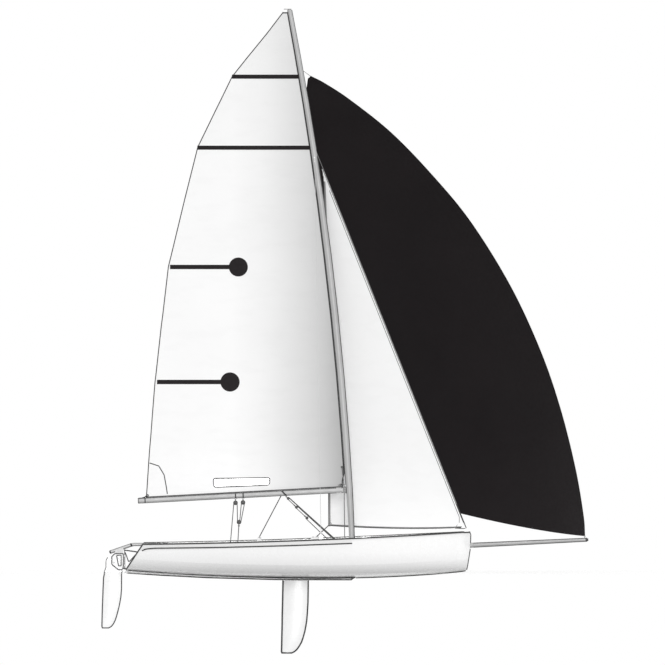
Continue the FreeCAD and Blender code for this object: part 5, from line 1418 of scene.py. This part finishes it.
for side_name, side in BOTH:
    for name, inner, outer in PADS:
        small = name == "pad_aft_"
        pad(name + side_name, side, inner, outer, 0.02 if small else 0.03, 16 if small else 40)
    parts = [lathe_parts((HATCH_X, side * HATCH_Y, 0.2780), Z_AXIS, HATCH, 48)]
    for c, s in circle(6):
        place = (HATCH_X + SCREW_CIRCLE * c, side * HATCH_Y + SCREW_CIRCLE * s, 0.2820)
        parts.append(lathe_parts(place, Z_AXIS, SCREW, 12))
    piece("hatch_" + side_name, parts, "hatch")
    lathe("drain_" + side_name, (-2.185, side * 0.34, 0.130), TRANSOM_WAY, DRAIN, "grey_fitting", sides=40)
    parts = [level_slab(0.052, 0.030, 0.008, 0.006, (CLEAT_X, side * CLEAT_Y, 0.4375), 0.001)]
    for y in (-0.0095, 0.0095):
        parts.append(lathe_parts((CLEAT_X, side * CLEAT_Y + y, 0.4400), Z_AXIS, SMALL_CAM, 16))
    piece("jib_cleat_" + side_name, parts, "pale_fitting")
    for label, x in (("aft", -1.605), ("front", 0.035)):
        parts = [level_slab(0.030, 0.070, 0.006, 0.0026, (x, side * STRAP_Y, 0.1638), 0.0006)]
        for y in (-0.025, 0.025):
            parts.append(lathe_parts((x, side * STRAP_Y + y, 0.1645), Z_AXIS, STRAP_SCREW, 14))
        piece("strap_plate_%s_%s" % (label, side_name), parts, "steel")
    foot, head = Vector((0.300, side * 0.8885, 0.500)), Vector((0.217, side * 0.030, 5.419))
    way = (head - foot).normalized()
    parts = [lathe_parts(foot - way * 0.004, way, [(0.0042, 0.0), (0.0066, 0.006), (0.0066, 0.060),
                                                   (0.0052, 0.066), (0.0052, 0.086), (0.0034, 0.098)], 16),
             lathe_parts(head - way * 0.060, way, [(0.0034, 0.0), (0.0052, 0.004), (0.0052, 0.040),
                                                   (0.0040, 0.050)], 14)]
    piece("shroud_ends_" + side_name, parts, "bright_steel")
    lathe("mast_tang_" + side_name, (0.214, side * 0.0255, 5.420), (0, side, 0), TANG, "bright_steel",
          sides=20)

lathe("hatch_fore", (1.020, 0.0, shell_top(1.02, 0.0) - 0.0008), Z_AXIS, HATCH, "hatch", sides=48)
SPRIT_WAY = (SPRIT_TIP - SPRIT_START).normalized()
lathe("sprit_cap", SPRIT_TIP - SPRIT_WAY * 0.034, SPRIT_WAY,
      [(0.0186, 0.0), (0.0200, 0.003), (0.0200, 0.031), (0.0165, 0.0365), (0.0050, 0.0375)], "fitting")

# ------------------------------------------------------------------ cloth facts
round(area_of(main_point), 3)
round(area_of(jib_point), 3)
round(area_of(kite_point), 3)

# ------------------------------------------------------------------ floor
FLOOR_LONG, FLOOR_WIDE, FLOOR_CORNER, FLOOR_X, FLOOR_Y = 9.2, 3.33, 1.2, 0.45, 0.605


def floor_material():
    """A pale, nearly clear floor at the waterline, so that the hull's bottom and foils still show."""
    material = bpy.data.materials.new("floor")
    material.use_nodes = True
    tree = material.node_tree
    tree.nodes.clear()
    new, link = tree.nodes.new, tree.links.new
    out, mix = new("ShaderNodeOutputMaterial"), new("ShaderNodeMixShader")
    mix.inputs[0].default_value = 0.20
    clear, plain = new("ShaderNodeBsdfTransparent"), new("ShaderNodeBsdfDiffuse")
    noise, ramp = new("ShaderNodeTexNoise"), new("ShaderNodeValToRGB")
    noise.inputs["Scale"].default_value = 0.8
    ramp.color_ramp.elements[0].color = (0.960, 0.962, 0.965, 1)
    ramp.color_ramp.elements[1].color = (0.975, 0.975, 0.975, 1)
    link(noise.outputs["Fac"], ramp.inputs["Fac"])
    link(ramp.outputs["Color"], plain.inputs["Color"])
    link(clear.outputs[0], mix.inputs[1])
    link(plain.outputs[0], mix.inputs[2])
    link(mix.outputs[0], out.inputs["Surface"])
    return material


floor_outline = rounded(FLOOR_LONG, FLOOR_WIDE, FLOOR_CORNER, 24)
floor_verts = [(a + FLOOR_X, b + FLOOR_Y, 0.0) for a, b in floor_outline]
floor_mesh = bpy.data.meshes.new("floor")
floor_mesh.from_pydata(floor_verts, [], [tuple(range(len(floor_verts)))])
floor_mesh.materials.append(floor_material())
floor = bpy.data.objects.new("floor", floor_mesh)
scene.collection.objects.link(floor)
floor.visible_shadow = False
floor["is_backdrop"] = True

low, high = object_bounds()
